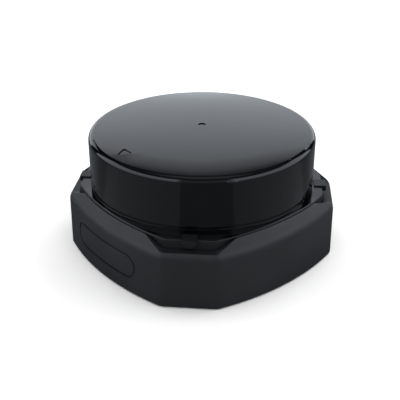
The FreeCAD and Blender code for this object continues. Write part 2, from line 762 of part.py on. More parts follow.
def make_stator_windings():
    """Coil of copper wire round each tooth."""
    step = 360 / TOOTH_COUNT
    inner = STATOR_HUB_RADIUS + PART_GAP
    outer = STATOR_RADIUS - TOOTH_SHOE - PART_GAP
    length = outer - inner
    middle = (outer + inner) / 2
    height = STATOR_THICKNESS + 2 * WINDING_BUILD
    wound = block(length, TOOTH_WIDTH + 2 * WINDING_BUILD, height, middle, 0, STATOR_Z - WINDING_BUILD)
    along = [edge for edge in wound.Edges if edge.BoundBox.XMax - edge.BoundBox.XMin > length / 2]
    wound = wound.makeChamfer(WINDING_BUILD / 2, along)
    core_width = TOOTH_WIDTH + 2 * PRESS_GAP
    core_height = STATOR_THICKNESS + 2 * PRESS_GAP
    coil = wound.cut(block(length, core_width, core_height, middle, 0, STATOR_Z - PRESS_GAP))
    return Part.makeCompound([turned(coil, step * number) for number in range(TOOTH_COUNT)])


def make_primary_ferrite():
    """Ferrite ring under the fixed power coil."""
    return ring(COIL_OUTER_RADIUS, COIL_INNER_RADIUS, FERRITE_THICKNESS, DECK_TOP)


def make_primary_coil():
    """Fixed coil of the power link."""
    low = DECK_TOP + FERRITE_THICKNESS
    return ring(COIL_OUTER_RADIUS - PART_GAP, COIL_INNER_RADIUS + PART_GAP, COIL_THICKNESS, low)


def encoder_middle():
    """Radius of the middle of the encoder ring's wall."""
    return ENCODER_RADIUS - ENCODER_WALL / 2


def make_encoder_sensor():
    """Fork-shaped light barrier that the encoder ring runs through."""
    inner = encoder_middle() - ENCODER_WALL / 2 - SENSOR_GAP - SENSOR_ARM
    outer = encoder_middle() + ENCODER_WALL / 2 + SENSOR_GAP + SENSOR_ARM
    tooth_low = TURNTABLE_Z - ENCODER_HEIGHT
    base_top = tooth_low - SENSOR_GAP
    arm_top = tooth_low + ENCODER_SLOT_HEIGHT
    body = block(outer - inner, SENSOR_WIDTH, arm_top - DECK_TOP, encoder_middle(), 0, DECK_TOP)
    slot_width = outer - inner - 2 * SENSOR_ARM
    slot = block(slot_width, SENSOR_WIDTH, arm_top - base_top, encoder_middle(), 0, base_top)
    return turned(body.cut(slot), SENSOR_ANGLE)


def make_shaft():
    """Hollow steel shaft, with a groove for the retaining ring near its lower end."""
    low = TUBE_BOTTOM - PART_GAP
    shaft = ring(SHAFT_RADIUS, SHAFT_BORE_RADIUS, TURNTABLE_TOP - low, low)
    groove_z = LOWER_BEARING_Z - RETAINER_THICKNESS - PRESS_GAP
    groove = ring(SHAFT_RADIUS, SHAFT_RADIUS - RETAINER_THICKNESS, RETAINER_THICKNESS + PRESS_GAP, groove_z)
    return shaft.cut(groove)


def make_retaining_ring():
    """Split ring in the shaft's groove, under the lower bearing."""
    inner = SHAFT_RADIUS - RETAINER_THICKNESS + PRESS_GAP
    low = LOWER_BEARING_Z - RETAINER_THICKNESS
    closed = ring(SHAFT_RADIUS + RETAINER_WIDTH, inner, RETAINER_THICKNESS - PRESS_GAP, low)
    mouth = block(SHAFT_RADIUS * 2, SHAFT_RADIUS, RETAINER_THICKNESS, SHAFT_RADIUS, 0, low)
    return closed.cut(mouth)


def make_bearing_spacer():
    """Sleeve on the shaft between the two inner rings."""
    low = LOWER_BEARING_Z + BEARING_WIDTH
    return ring(SHAFT_RADIUS + BEARING_RING_WALL, SHAFT_RADIUS + PRESS_GAP, UPPER_BEARING_Z - low, low)


def make_rotor_bell():
    """Steel cup that carries the magnet round the stator."""
    outer = BELL_INNER_RADIUS + BELL_WALL
    low = STATOR_Z - BELL_RUNNING_GAP / 2
    cup = disc(outer, TURNTABLE_Z - low, low)
    cup = cup.makeChamfer(BELL_CHAMFER, edges_at(cup, TURNTABLE_Z))
    room = disc(BELL_INNER_RADIUS, TURNTABLE_Z - BELL_WALL - low, low)
    hole = disc(TURNTABLE_BOSS_RADIUS + PRESS_GAP, BELL_WALL, TURNTABLE_Z - BELL_WALL)
    return cup.cut([room, hole])


def make_rotor_magnet():
    """Ring magnet inside the bell."""
    middle = STATOR_Z + STATOR_THICKNESS / 2
    outer = BELL_INNER_RADIUS - PRESS_GAP
    return ring(outer, BELL_INNER_RADIUS - MAGNET_THICKNESS, MAGNET_HEIGHT, middle - MAGNET_HEIGHT / 2)


def make_turntable():
    """Disc on the shaft that carries the optics, the head's board and the counterweight."""
    table = disc(TURNTABLE_RADIUS, TURNTABLE_THICKNESS, TURNTABLE_Z)
    boss = disc(TURNTABLE_BOSS_RADIUS, BELL_WALL, TURNTABLE_Z - BELL_WALL)
    collar_low = UPPER_BEARING_Z + BEARING_WIDTH
    collar = disc(SHAFT_RADIUS + BEARING_RING_WALL, TURNTABLE_Z - collar_low, collar_low)
    posts = [
        disc(HEAD_POST_RADIUS, HEAD_BOARD_RISE, TURNTABLE_TOP, x, y)
        for x, y in [polar(HEAD_POST_PLACE, angle) for angle in (0, 90, 180)]
    ]
    table = fused([table, boss, collar] + posts)
    return table.cut(disc(SHAFT_RADIUS + PRESS_GAP, TURNTABLE_TOP - collar_low, collar_low))


def make_secondary_ferrite():
    """Ferrite ring above the turning power coil."""
    return ring(COIL_OUTER_RADIUS, COIL_INNER_RADIUS, FERRITE_THICKNESS, TURNTABLE_Z - FERRITE_THICKNESS)


def make_secondary_coil():
    """Turning coil of the power link."""
    top = TURNTABLE_Z - FERRITE_THICKNESS
    low = DECK_TOP + FERRITE_THICKNESS + COIL_THICKNESS + COIL_AIR_GAP
    return ring(COIL_OUTER_RADIUS - PART_GAP, COIL_INNER_RADIUS + PART_GAP, top - low, low)


def make_encoder_ring():
    """Slotted skirt under the turntable's edge."""
    low = TURNTABLE_Z - ENCODER_HEIGHT
    skirt = ring(ENCODER_RADIUS, ENCODER_RADIUS - ENCODER_WALL, ENCODER_HEIGHT, low)
    slot = block(ENCODER_WALL * 4, ENCODER_SLOT_WIDTH, ENCODER_SLOT_HEIGHT, encoder_middle(), 0, low)
    step = 360 / ENCODER_SLOTS
    return skirt.cut([turned(slot, step * number) for number in range(ENCODER_SLOTS)])




def barrel(x, radius, front, back):
    """Cylinder along the beam, centred on x."""
    return Part.makeCylinder(radius, back - front, Vector(x, front, BEAM_AXIS_Z), Vector(0, 1, 0))


def make_optics_frame():
    """Moulded holder with the two barrels, a foot plate and a rear wall for the detector board."""
    foot_y = BARREL_BACK - FOOT_DEPTH / 2
    bodies = [block(FOOT_WIDTH, FOOT_DEPTH, FOOT_THICKNESS, 0, foot_y, TURNTABLE_TOP)]
    bores = []
    saddle_height = BEAM_AXIS_Z - TURNTABLE_TOP
    saddle_depth = BARREL_BACK - BARREL_FRONT
    saddle_y = (BARREL_BACK + BARREL_FRONT) / 2
    for x, lens_radius, seat_back in (
        (EMITTER_X, EMITTER_LENS_RADIUS, LENS_BACK),
        (RECEIVER_X, RECEIVER_LENS_RADIUS, LENS_BACK + FILTER_THICKNESS),
    ):
        outer = lens_radius + BARREL_WALL
        bodies.append(barrel(x, outer, BARREL_FRONT, BARREL_BACK))
        bodies.append(block(outer, saddle_depth, saddle_height, x, saddle_y, TURNTABLE_TOP))
        bores.append(barrel(x, lens_radius + PRESS_GAP, BARREL_FRONT, seat_back))
        bores.append(barrel(x, lens_radius - BARREL_LEDGE, BARREL_FRONT, BARREL_BACK))
    web_left = EMITTER_X + EMITTER_LENS_RADIUS
    web_right = RECEIVER_X - RECEIVER_LENS_RADIUS
    web_x = (web_left + web_right) / 2
    web_y = BARREL_BACK - FRAME_WALL / 2
    web_width = web_right - web_left
    bodies.append(block(web_width, FRAME_WALL, saddle_height, web_x, web_y, TURNTABLE_TOP))
    return fused(bodies).cut(bores)



def lens(x, radius):
    """Lens with a flat back and a bulging front, seated in its barrel."""
    rim = LENS_BACK - LENS_THICKNESS
    crown_radius = (radius ** 2 + LENS_CROWN ** 2) / (2 * LENS_CROWN)
    edge = barrel(x, radius, rim, LENS_BACK)
    ball = Part.makeSphere(crown_radius, Vector(x, rim - LENS_CROWN + crown_radius, BEAM_AXIS_Z))
    front = barrel(x, radius, rim - LENS_CROWN, rim).common(ball)
    return fused([edge, front])


def make_emitter_lens():
    """Small lens in front of the laser diode."""
    return lens(EMITTER_X, EMITTER_LENS_RADIUS)


def make_receiver_lens():
    """Large lens in front of the detector."""
    return lens(RECEIVER_X, RECEIVER_LENS_RADIUS)


def make_receiver_filter():
    """Thin filter disc behind the receiver lens."""
    return barrel(RECEIVER_X, RECEIVER_LENS_RADIUS, LENS_BACK, LENS_BACK + FILTER_THICKNESS)


def make_detector_board():
    """Upright board behind both barrels."""
    middle_x = (EMITTER_X + RECEIVER_X) / 2
    return block(DETECTOR_BOARD_WIDTH, HEAD_BOARD_THICKNESS, DETECTOR_BOARD_HEIGHT, middle_x,
                 BARREL_BACK + HEAD_BOARD_THICKNESS / 2, TURNTABLE_TOP)


def make_laser_diode():
    """Laser diode in its can, on the upright board behind the small lens."""
    flange = barrel(EMITTER_X, DIODE_FLANGE_RADIUS, BARREL_BACK - DIODE_FLANGE_THICKNESS, BARREL_BACK)
    can = barrel(EMITTER_X, DIODE_RADIUS, BARREL_BACK - DIODE_LENGTH, BARREL_BACK)
    return fused([flange, can])


def make_detector():
    """Light detector on the upright board behind the large lens."""
    return block(DETECTOR_SIZE, DETECTOR_DEPTH, DETECTOR_SIZE, RECEIVER_X, BARREL_BACK - DETECTOR_DEPTH / 2,
                 BEAM_AXIS_Z - DETECTOR_SIZE / 2)


def make_head_board():
    """Flat board behind the optics, cut straight at its front."""
    board = disc(HEAD_BOARD_RADIUS, HEAD_BOARD_THICKNESS, HEAD_BOARD_Z)
    front = block(2 * HEAD_BOARD_RADIUS, HEAD_BOARD_RADIUS, HEAD_BOARD_THICKNESS, 0,
                  HEAD_BOARD_FRONT - HEAD_BOARD_RADIUS / 2, HEAD_BOARD_Z)
    return board.cut(front)



def make_head_processor():
    """Processor on the head's board."""
    x, y = polar(HEAD_CHIP_PLACE, HEAD_CHIP_ANGLE)
    return block(HEAD_CHIP_SIZE, HEAD_CHIP_SIZE, CHIP_HEIGHT, x, y, HEAD_BOARD_Z + HEAD_BOARD_THICKNESS)


def make_link_emitter():
    """Light source over the hollow shaft, under the head's board."""
    return disc(LINK_RADIUS, LINK_HEIGHT, HEAD_BOARD_Z - LINK_HEIGHT)


def make_counterweight():
    """Curved weight at the back of the turntable, with rounded upright edges."""
    sector = tooth_sector(WEIGHT_INNER_RADIUS, WEIGHT_OUTER_RADIUS, WEIGHT_ARC, TURNTABLE_TOP,
                          TURNTABLE_TOP + WEIGHT_HEIGHT)
    return turned(sector.makeFillet(WEIGHT_ROUND, upright_edges(sector)), 90)


SUB_PARTS = {
    "base_housing": make_base_housing,
    "bottom_plate": make_bottom_plate,
    "plate_gasket": make_plate_gasket,
    "plate_screws": make_plate_screws,
    "mounting_inserts": make_mounting_inserts,
    "window_cap": make_window_cap,
    "window_gasket": make_window_gasket,
    "main_board": make_main_board,
    "controller_chip": make_controller_chip,
    "motor_driver": make_motor_driver,
    "power_inductor": make_power_inductor,
    "board_capacitors": make_board_capacitors,
    "cable_socket": make_cable_socket,
    "socket_pins": make_socket_pins,
    "link_receiver": make_link_receiver,
    "bearing_tube": make_bearing_tube,
    "lower_bearing_outer_ring": lambda: outer_ring(LOWER_BEARING_Z),
    "upper_bearing_outer_ring": lambda: outer_ring(UPPER_BEARING_Z),
    "stator_core": make_stator_core,
    "stator_windings": make_stator_windings,
    "primary_ferrite": make_primary_ferrite,
    "primary_coil": make_primary_coil,
    "encoder_sensor": make_encoder_sensor,
    "shaft": make_shaft,
    "retaining_ring": make_retaining_ring,
    "bearing_spacer": make_bearing_spacer,
    "lower_bearing_inner_ring": lambda: inner_ring(LOWER_BEARING_Z),
    "upper_bearing_inner_ring": lambda: inner_ring(UPPER_BEARING_Z),
    "rotor_bell": make_rotor_bell,
    "rotor_magnet": make_rotor_magnet,
    "turntable": make_turntable,
    "secondary_ferrite": make_secondary_ferrite,
    "secondary_coil": make_secondary_coil,
    "encoder_ring": make_encoder_ring,
    "optics_frame": make_optics_frame,
    "emitter_lens": make_emitter_lens,
    "receiver_lens": make_receiver_lens,
    "receiver_filter": make_receiver_filter,
    "detector_board": make_detector_board,
    "laser_diode": make_laser_diode,
    "detector": make_detector,
    "head_board": make_head_board,
    "head_processor": make_head_processor,
    "link_emitter": make_link_emitter,
    "counterweight": make_counterweight,
}

os.makedirs("parts", exist_ok=True)
for name, make in SUB_PARTS.items():
    shape = make()
    shape.exportStep(f"parts/{name}.step")
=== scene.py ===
"""Looks of the spinning laser range finder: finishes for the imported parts, threads, screws and bearing
balls, and a pale studio around them."""
import json
import math

import bmesh
import bpy
import numpy as np
from bpy.props import FloatProperty, FloatVectorProperty, IntProperty
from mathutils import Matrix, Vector


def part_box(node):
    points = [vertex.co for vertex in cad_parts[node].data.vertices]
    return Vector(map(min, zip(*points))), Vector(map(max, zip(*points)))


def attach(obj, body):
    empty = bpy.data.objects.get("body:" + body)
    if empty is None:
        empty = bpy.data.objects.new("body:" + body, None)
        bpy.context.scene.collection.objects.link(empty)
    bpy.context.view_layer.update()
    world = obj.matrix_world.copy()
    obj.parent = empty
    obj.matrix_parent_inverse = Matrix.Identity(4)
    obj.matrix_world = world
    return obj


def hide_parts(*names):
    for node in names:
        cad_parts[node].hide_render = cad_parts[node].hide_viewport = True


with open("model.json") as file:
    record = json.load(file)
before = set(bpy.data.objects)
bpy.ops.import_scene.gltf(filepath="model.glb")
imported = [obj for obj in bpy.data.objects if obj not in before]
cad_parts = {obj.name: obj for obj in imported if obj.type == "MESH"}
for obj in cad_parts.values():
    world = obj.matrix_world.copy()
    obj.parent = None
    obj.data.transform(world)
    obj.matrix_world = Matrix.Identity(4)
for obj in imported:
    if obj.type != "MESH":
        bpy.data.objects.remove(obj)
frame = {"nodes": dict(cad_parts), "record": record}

bl_info = {
    "name": "Laser Range Finder Looks",
    "version": (1, 0, 0),
    "blender": (4, 5, 0),
    "location": "View3D > Sidebar > Range Finder",
    "description": "Finishes, fine pieces and studio for a packed laser range finder",
    "category": "Object",
}

# The bordered field on the front is a line with round ends, and a groove runs round it.
FIELD_HALF_LENGTH = 0.01085
FIELD_RADIUS = 0.00385
FIELD_HEIGHT = 0.009
GROOVE_WIDTH = 0.0004

# Each band is the pair of values between which one look of the base or the cap turns into the next.
FRONT_BAND = (-0.0375, -0.0365)
FOOT_BAND = (0.0004, 0.0009)
RIM_BAND = (0.0194, 0.0199)
NOTCH_FLOOR_BAND = (0.0178, 0.0180)
LATCH_HEIGHT_BAND = (0.0174, 0.0176)
LATCH_REACH_BAND = (0.0389, 0.0391)
FLANGE_REACH_BAND = (0.03495, 0.03505)
FLANGE_EDGE_BAND = (0.02012, 0.02019)
UPWARD_BAND = (0.97, 0.99)
DIAGONAL_BAND = (0.41, 0.45)

# Blender's ring pattern repeats about this often in one unit.
RINGS_PER_UNIT = 3.2

# A screw's head and shank are each a radius and a length; its drive is half the distance across flats.
# The taper and the mouth are the drive's widths at its floor and at the head's top, as shares of that, and
# the clearance is how far a head stands off the face under it.
PLATE_SCREW = {"head": (0.0019, 0.0011), "shank": (0.00098, 0.007), "drive": 0.00075, "pitch": 0.0004}
BOARD_SCREW = {"head": (0.0016, 0.0010), "shank": (0.00075, 0.0011), "drive": 0.0006, "pitch": 0.00035}
OPTICS_SCREW = {"head": (0.0013, 0.0008), "shank": (0.00065, 0.0013), "drive": 0.0005, "pitch": 0.0003}
HEAD_CLEARANCE = 0.00002
DRIVE_TAPER = 0.96
DRIVE_MOUTH = 1.08
DRIVE_FLOOR_SHARE = 0.45
HEAD_BEVEL_SHARE = 0.16
THREAD_DEPTH_SHARE = 0.3
THREAD_ROWS = 6.0
TIP_SHARE = 0.55
LEAST_SCREW_FACES = 500

BALL_ROWS = 13
BALL_COLUMNS = 24
# A merged mesh that keeps less than this share of its faces came out broken.
WHOLE_SHARE = 0.9

# Grey levels that polished parts mirror. Heights run from nought at the horizon to one overhead; turns run
# from nought behind the object to one in front of it.
BACKDROP_BY_HEIGHT = (
    (0.0, 1.0), (0.165, 1.0), (0.187, 0.74), (0.21, 0.64), (0.24, 0.585), (0.30, 0.55), (0.41, 0.54),
    (0.45, 0.52), (0.50, 0.48), (0.528, 0.45), (0.549, 0.32), (0.562, 0.22), (0.571, 0.093),
    (0.580, 0.03), (0.588, 0.0))
BACKDROP_BY_TURN = ((0.0, 1.0), (0.105, 1.0), (0.125, 0.0))
PANELS_BY_HEIGHT = ((0.0, 0.6), (0.12, 0.9), (0.25, 1.0), (0.62, 1.0), (0.68, 0.0))
PANELS_BY_TURN = ((0.205, 0.0), (0.225, 1.0), (0.938, 1.0), (0.956, 0.22), (1.0, 0.22))
OVERHEAD_BY_HEIGHT = ((0.64, 0.0), (0.74, 0.045), (0.88, 0.07), (0.97, 0.4))
FLOOR_BY_TURN = (
    (0.0, 0.16), (0.29, 0.14), (0.34, 0.115), (0.40, 0.115), (0.44, 0.135), (0.47, 0.2), (0.55, 0.24),
    (0.80, 0.27), (0.966, 0.22), (0.969, 0.125), (1.0, 0.125))
ARCH_RISE = 2.5
ARCH_LIMIT = 0.10

# The soft sky is brighter on the camera's right than on its left, by the lean.
SKY_LEVEL = 2.08
SKY_LEAN = -0.4

# Polished parts mirror the shaded level near the object and the floor's own level further out. The glow
# lights the underside where the object covers the floor. Both ramps are in decimetres from the axis.
FLOOR_REACH = 3.0
FLOOR_DROP = 0.00005
FLOOR_TONES = ((0.3, 0.95), (0.7, 0.97))
DECIMETRES = 10.0
OPEN_FLOOR = ((0.44, 0.0), (0.62, 1.0))
COVERED_FLOOR = ((0.36, 1.0), (0.37, 0.0))
SHADED_LEVEL = 0.08
BENEATH_GLOW = 0.45

# The lamps stand on both sides of the object, a little behind it, and look down on it.
LAMP_ASIDE = 0.334
LAMP_BEHIND = 0.193
LAMP_ABOVE = 0.46
LAMP_WIDTH = 0.5
LAMP_HEIGHT = 0.4
LEFT_SHARE = 0.82
RIGHT_SHARE = 1.25


class ThreadSettings(bpy.types.PropertyGroup):
    """Sizes of the threads inside the mounting inserts."""

    spacing: FloatProperty(
        name="Spacing", description="Distance between neighbouring inserts",
        default=0.040, unit="LENGTH")
    outer_radius: FloatProperty(
        name="Root radius", description="Radius at the root of the thread, just inside the bore's wall",
        default=0.00104, unit="LENGTH")
    depth: FloatProperty(
        name="Depth", description="How far the thread stands into the bore",
        default=0.00012, unit="LENGTH")
    pitch: FloatProperty(
        name="Pitch", description="Rise of the thread in one turn",
        default=0.00045, unit="LENGTH")
    length: FloatProperty(
        name="Length", description="Threaded length from the mounting face",
        default=0.0036, unit="LENGTH")
    steps: IntProperty(
        name="Steps per turn", description="Stretches that one turn is made of",
        default=48, min=12)


class ScrewSettings(bpy.types.PropertyGroup):
    """Sizes and places of the screws."""

    plate_place: FloatProperty(
        name="Plate screws", description="Distance of the bottom plate's screws from the axis",
        default=0.0346, unit="LENGTH")
    plate_seat: FloatProperty(
        name="Plate seat", description="Height at which the plate screws' heads end",
        default=0.0013, unit="LENGTH")
    board_place: FloatProperty(
        name="Board screws", description="Distance of the main board's screws from the axis",
        default=0.0265, unit="LENGTH")
    foot_x: FloatProperty(
        name="Foot screws, across", description="Distance of the optics foot's screws from its middle",
        default=0.0146, unit="LENGTH")
    foot_front: FloatProperty(
        name="Foot screws, front", description="How far the front pair of foot screws is before the axis",
        default=0.0215, unit="LENGTH")
    foot_back: FloatProperty(
        name="Foot screws, back", description="How far the back pair of foot screws is before the axis",
        default=0.0110, unit="LENGTH")
    foot_thickness: FloatProperty(
        name="Foot thickness", description="Thickness of the optics foot",
        default=0.0014, unit="LENGTH")


class BallSettings(bpy.types.PropertyGroup):
    """Sizes of the balls in the two bearings."""

    radius: FloatProperty(
        name="Ball radius", description="Radius of one ball",
        default=0.00065, unit="LENGTH")
    pitch_radius: FloatProperty(
        name="Pitch radius", description="Distance of the balls from the axis",
        default=0.0045, unit="LENGTH")
    count: IntProperty(
        name="Balls", description="Balls in each bearing",
        default=8, min=3)


class FinishSettings(bpy.types.PropertyGroup):
    """Colours of the finishes."""

    housing: FloatVectorProperty(
        name="Housing", description="Colour of the grained housing",
        default=(0.0119, 0.0131, 0.0152), subtype="COLOR")
    window: FloatVectorProperty(
        name="Window", description="Colour of the polished window",
        default=(0.0019, 0.0021, 0.0024), subtype="COLOR")
    cover: FloatVectorProperty(
        name="Bottom plate", description="Colour of the painted bottom plate",
        default=(0.03, 0.03, 0.032), subtype="COLOR")
    rubber: FloatVectorProperty(
        name="Seals", description="Colour of the rubber seals",
        default=(0.015, 0.015, 0.015), subtype="COLOR")
    board: FloatVectorProperty(
        name="Circuit boards", description="Colour of the solder mask",
        default=(0.008, 0.085, 0.03), subtype="COLOR")
    trace: FloatVectorProperty(
        name="Traces", description="Colour of the mask over copper",
        default=(0.02, 0.17, 0.06), subtype="COLOR")
    resin: FloatVectorProperty(
        name="Chips", description="Colour of the chips' resin",
        default=(0.012, 0.012, 0.013), subtype="COLOR")
    ferrite: FloatVectorProperty(
        name="Ferrite", description="Colour of ferrite and magnet",
        default=(0.045, 0.044, 0.046), subtype="COLOR")
    inner_plastic: FloatVectorProperty(
        name="Inner plastic", description="Colour of socket, fork and optics frame",
        default=(0.016, 0.016, 0.018), subtype="COLOR")
    steel: FloatVectorProperty(
        name="Steel", description="Colour of ground steel",
        default=(0.56, 0.56, 0.58), subtype="COLOR")
    aluminium: FloatVectorProperty(
        name="Aluminium", description="Colour of turned aluminium",
        default=(0.68, 0.69, 0.71), subtype="COLOR")
    brass: FloatVectorProperty(
        name="Brass", description="Colour of brass",
        default=(0.62, 0.42, 0.16), subtype="COLOR")
    copper: FloatVectorProperty(
        name="Copper", description="Colour of enamelled copper wire",
        default=(0.56, 0.22, 0.08), subtype="COLOR")
    lens: FloatVectorProperty(
        name="Lens", description="Tint of the lenses",
        default=(0.86, 0.93, 0.97), subtype="COLOR")
    filter_glass: FloatVectorProperty(
        name="Filter", description="Tint of the receiver's filter",
        default=(0.30, 0.02, 0.05), subtype="COLOR")
    clear_resin: FloatVectorProperty(
        name="Clear resin", description="Tint of the data link's light parts",
        default=(0.72, 0.68, 0.62), subtype="COLOR")


class StudioSettings(bpy.types.PropertyGroup):
    """Camera and light of the studio."""

    camera_place: FloatVectorProperty(
        name="Camera place", description="Where the camera stands",
        default=(0.15838, -0.13274, 0.12234), subtype="TRANSLATION", unit="LENGTH")
    camera_aim: FloatVectorProperty(
        name="Camera aim", description="Point that the camera looks at",
        default=(0.001315, -0.001874, 0.013836), subtype="TRANSLATION", unit="LENGTH")
    focal_length: FloatProperty(
        name="Focal length", description="Lens of the camera on a 36 mm sensor",
        default=65.32, min=10.0)
    sky_low: FloatProperty(
        name="Sky at the horizon", description="Strength of the soft light that comes in low",
        default=0.25, min=0.0)
    sky_high: FloatProperty(
        name="Sky overhead", description="Strength of the soft light from above",
        default=1.35, min=0.0)
    lamp_power: FloatProperty(
        name="Lamps", description="Power of each of the two soft lamps",
        default=0.9, min=0.0)
    backdrop_glow: FloatProperty(
        name="Backdrop", description="Strength of the bright backdrop as polished parts mirror it",
        default=2.2, min=0.0)
    panel_glow: FloatProperty(
        name="Side panels", description="Strength of the two side panels as polished parts mirror them",
        default=1.5, min=0.0)
    floor_glow: FloatProperty(
        name="Floor", description="Strength of the floor as polished parts mirror it",
        default=1.0, min=0.0)
    gap_turn: FloatProperty(
        name="Turn of the gap", description="How far the dark gap in front is turned from the camera",
        default=math.radians(3.7), subtype="ANGLE")
    tint: FloatVectorProperty(
        name="Tint", description="Cool tint of everything that polished parts mirror",
        default=(0.935, 1.0, 1.08), subtype="COLOR", max=2.0)


def unit(vector):
    """Vector of length one in the same direction."""
    return vector / np.linalg.norm(vector)


def close_mesh(mesh):
    """Merge poles and seams, turn the faces outward, and shade smooth up to 35 degrees."""
    work = bmesh.new()
    work.from_mesh(mesh)
    bmesh.ops.remove_doubles(work, verts=work.verts, dist=1e-7)
    bmesh.ops.recalc_face_normals(work, faces=work.faces)
    work.to_mesh(mesh)
    work.free()
    mesh.shade_smooth()
    mesh.set_sharp_from_angle(angle=math.radians(35.0))


def mesh_object(name, points, faces, smooth=True):
    """Mesh object from an array of points and an array of quads, at the origin."""
    mesh = bpy.data.meshes.new(name)
    count = len(faces)
    mesh.vertices.add(len(points))
    mesh.vertices.foreach_set("co", np.ascontiguousarray(points, dtype=np.float32).ravel())
    mesh.loops.add(count * 4)
    mesh.loops.foreach_set("vertex_index", np.ascontiguousarray(faces, dtype=np.int32).ravel())
    mesh.polygons.add(count)
    mesh.polygons.foreach_set("loop_start", np.arange(0, count * 4, 4, dtype=np.int32))
    mesh.update(calc_edges=True)
    if smooth:
        close_mesh(mesh)
    made = bpy.data.objects.new(name, mesh)
    bpy.context.scene.collection.objects.link(made)
    return made


def grid_faces(rows, columns, wrap):
    """Quads of a grid of points, row by row; wrap joins the last column to the first."""
    last = columns if wrap else columns - 1
    row, column = np.meshgrid(np.arange(rows - 1), np.arange(last), indexing="ij")
    following = (column + 1) % columns
    low = row * columns
    high = (row + 1) * columns
    quads = np.stack([low + column, low + following, high + following, high + column], axis=-1)
    return quads.reshape(-1, 4)


def shader_maths(tree, operation, first, second=None, third=None):
    """Math node; plain numbers are set on its sockets."""
    made = tree.nodes.new("ShaderNodeMath")
    made.operation = operation
    for socket, value in zip(made.inputs, (first, second, third)):
        if value is None:
            continue
        if isinstance(value, (int, float)):
            socket.default_value = value
        else:
            tree.links.new(value, socket)
    return made.outputs[0]


def product(tree, first, *others):
    """Several factors multiplied together."""
    for other in others:
        first = shader_maths(tree, "MULTIPLY", first, other)
    return first


def colour_ramp(tree, factor, stops):
    """Colours along a factor; each stop is a place and a colour."""
    made = tree.nodes.new("ShaderNodeValToRGB")
    elements = made.color_ramp.elements
    while len(elements) < len(stops):
        elements.new(0.5)
    for element, (place, colour) in zip(elements, stops):
        element.position = place
        element.color = (*colour, 1.0)
    tree.links.new(factor, made.inputs["Fac"])
    return made.outputs["Color"]


def shader_ramp(tree, factor, stops):
    """Grey levels along a factor; each stop is a place and a level."""
    return colour_ramp(tree, factor, [(place, (level, level, level)) for place, level in stops])


def blend(tree, factor, first, second):
    """Shader that goes from the first to the second as the factor goes from nought to one."""
    made = tree.nodes.new("ShaderNodeMixShader")
    for socket, source in zip(made.inputs, (factor, first, second)):
        tree.links.new(source, socket)
    return made.outputs[0]


def towards(tree, place, way):
    """Part of a direction or place that lies along a level way."""
    split = tree.nodes.new("ShaderNodeSeparateXYZ")
    tree.links.new(place, split.inputs[0])
    return shader_maths(tree, "ADD", product(tree, split.outputs[0], float(way[0])),
                        product(tree, split.outputs[1], float(way[1])))


def level_length(tree, place):
    """Length of a direction or place, seen from above."""
    flat = tree.nodes.new("ShaderNodeVectorMath")
    flat.operation = "MULTIPLY"
    flat.inputs[1].default_value = (1.0, 1.0, 0.0)
    tree.links.new(place, flat.inputs[0])
    length = tree.nodes.new("ShaderNodeVectorMath")
    length.operation = "LENGTH"
    tree.links.new(flat.outputs[0], length.inputs[0])
    return length.outputs["Value"]


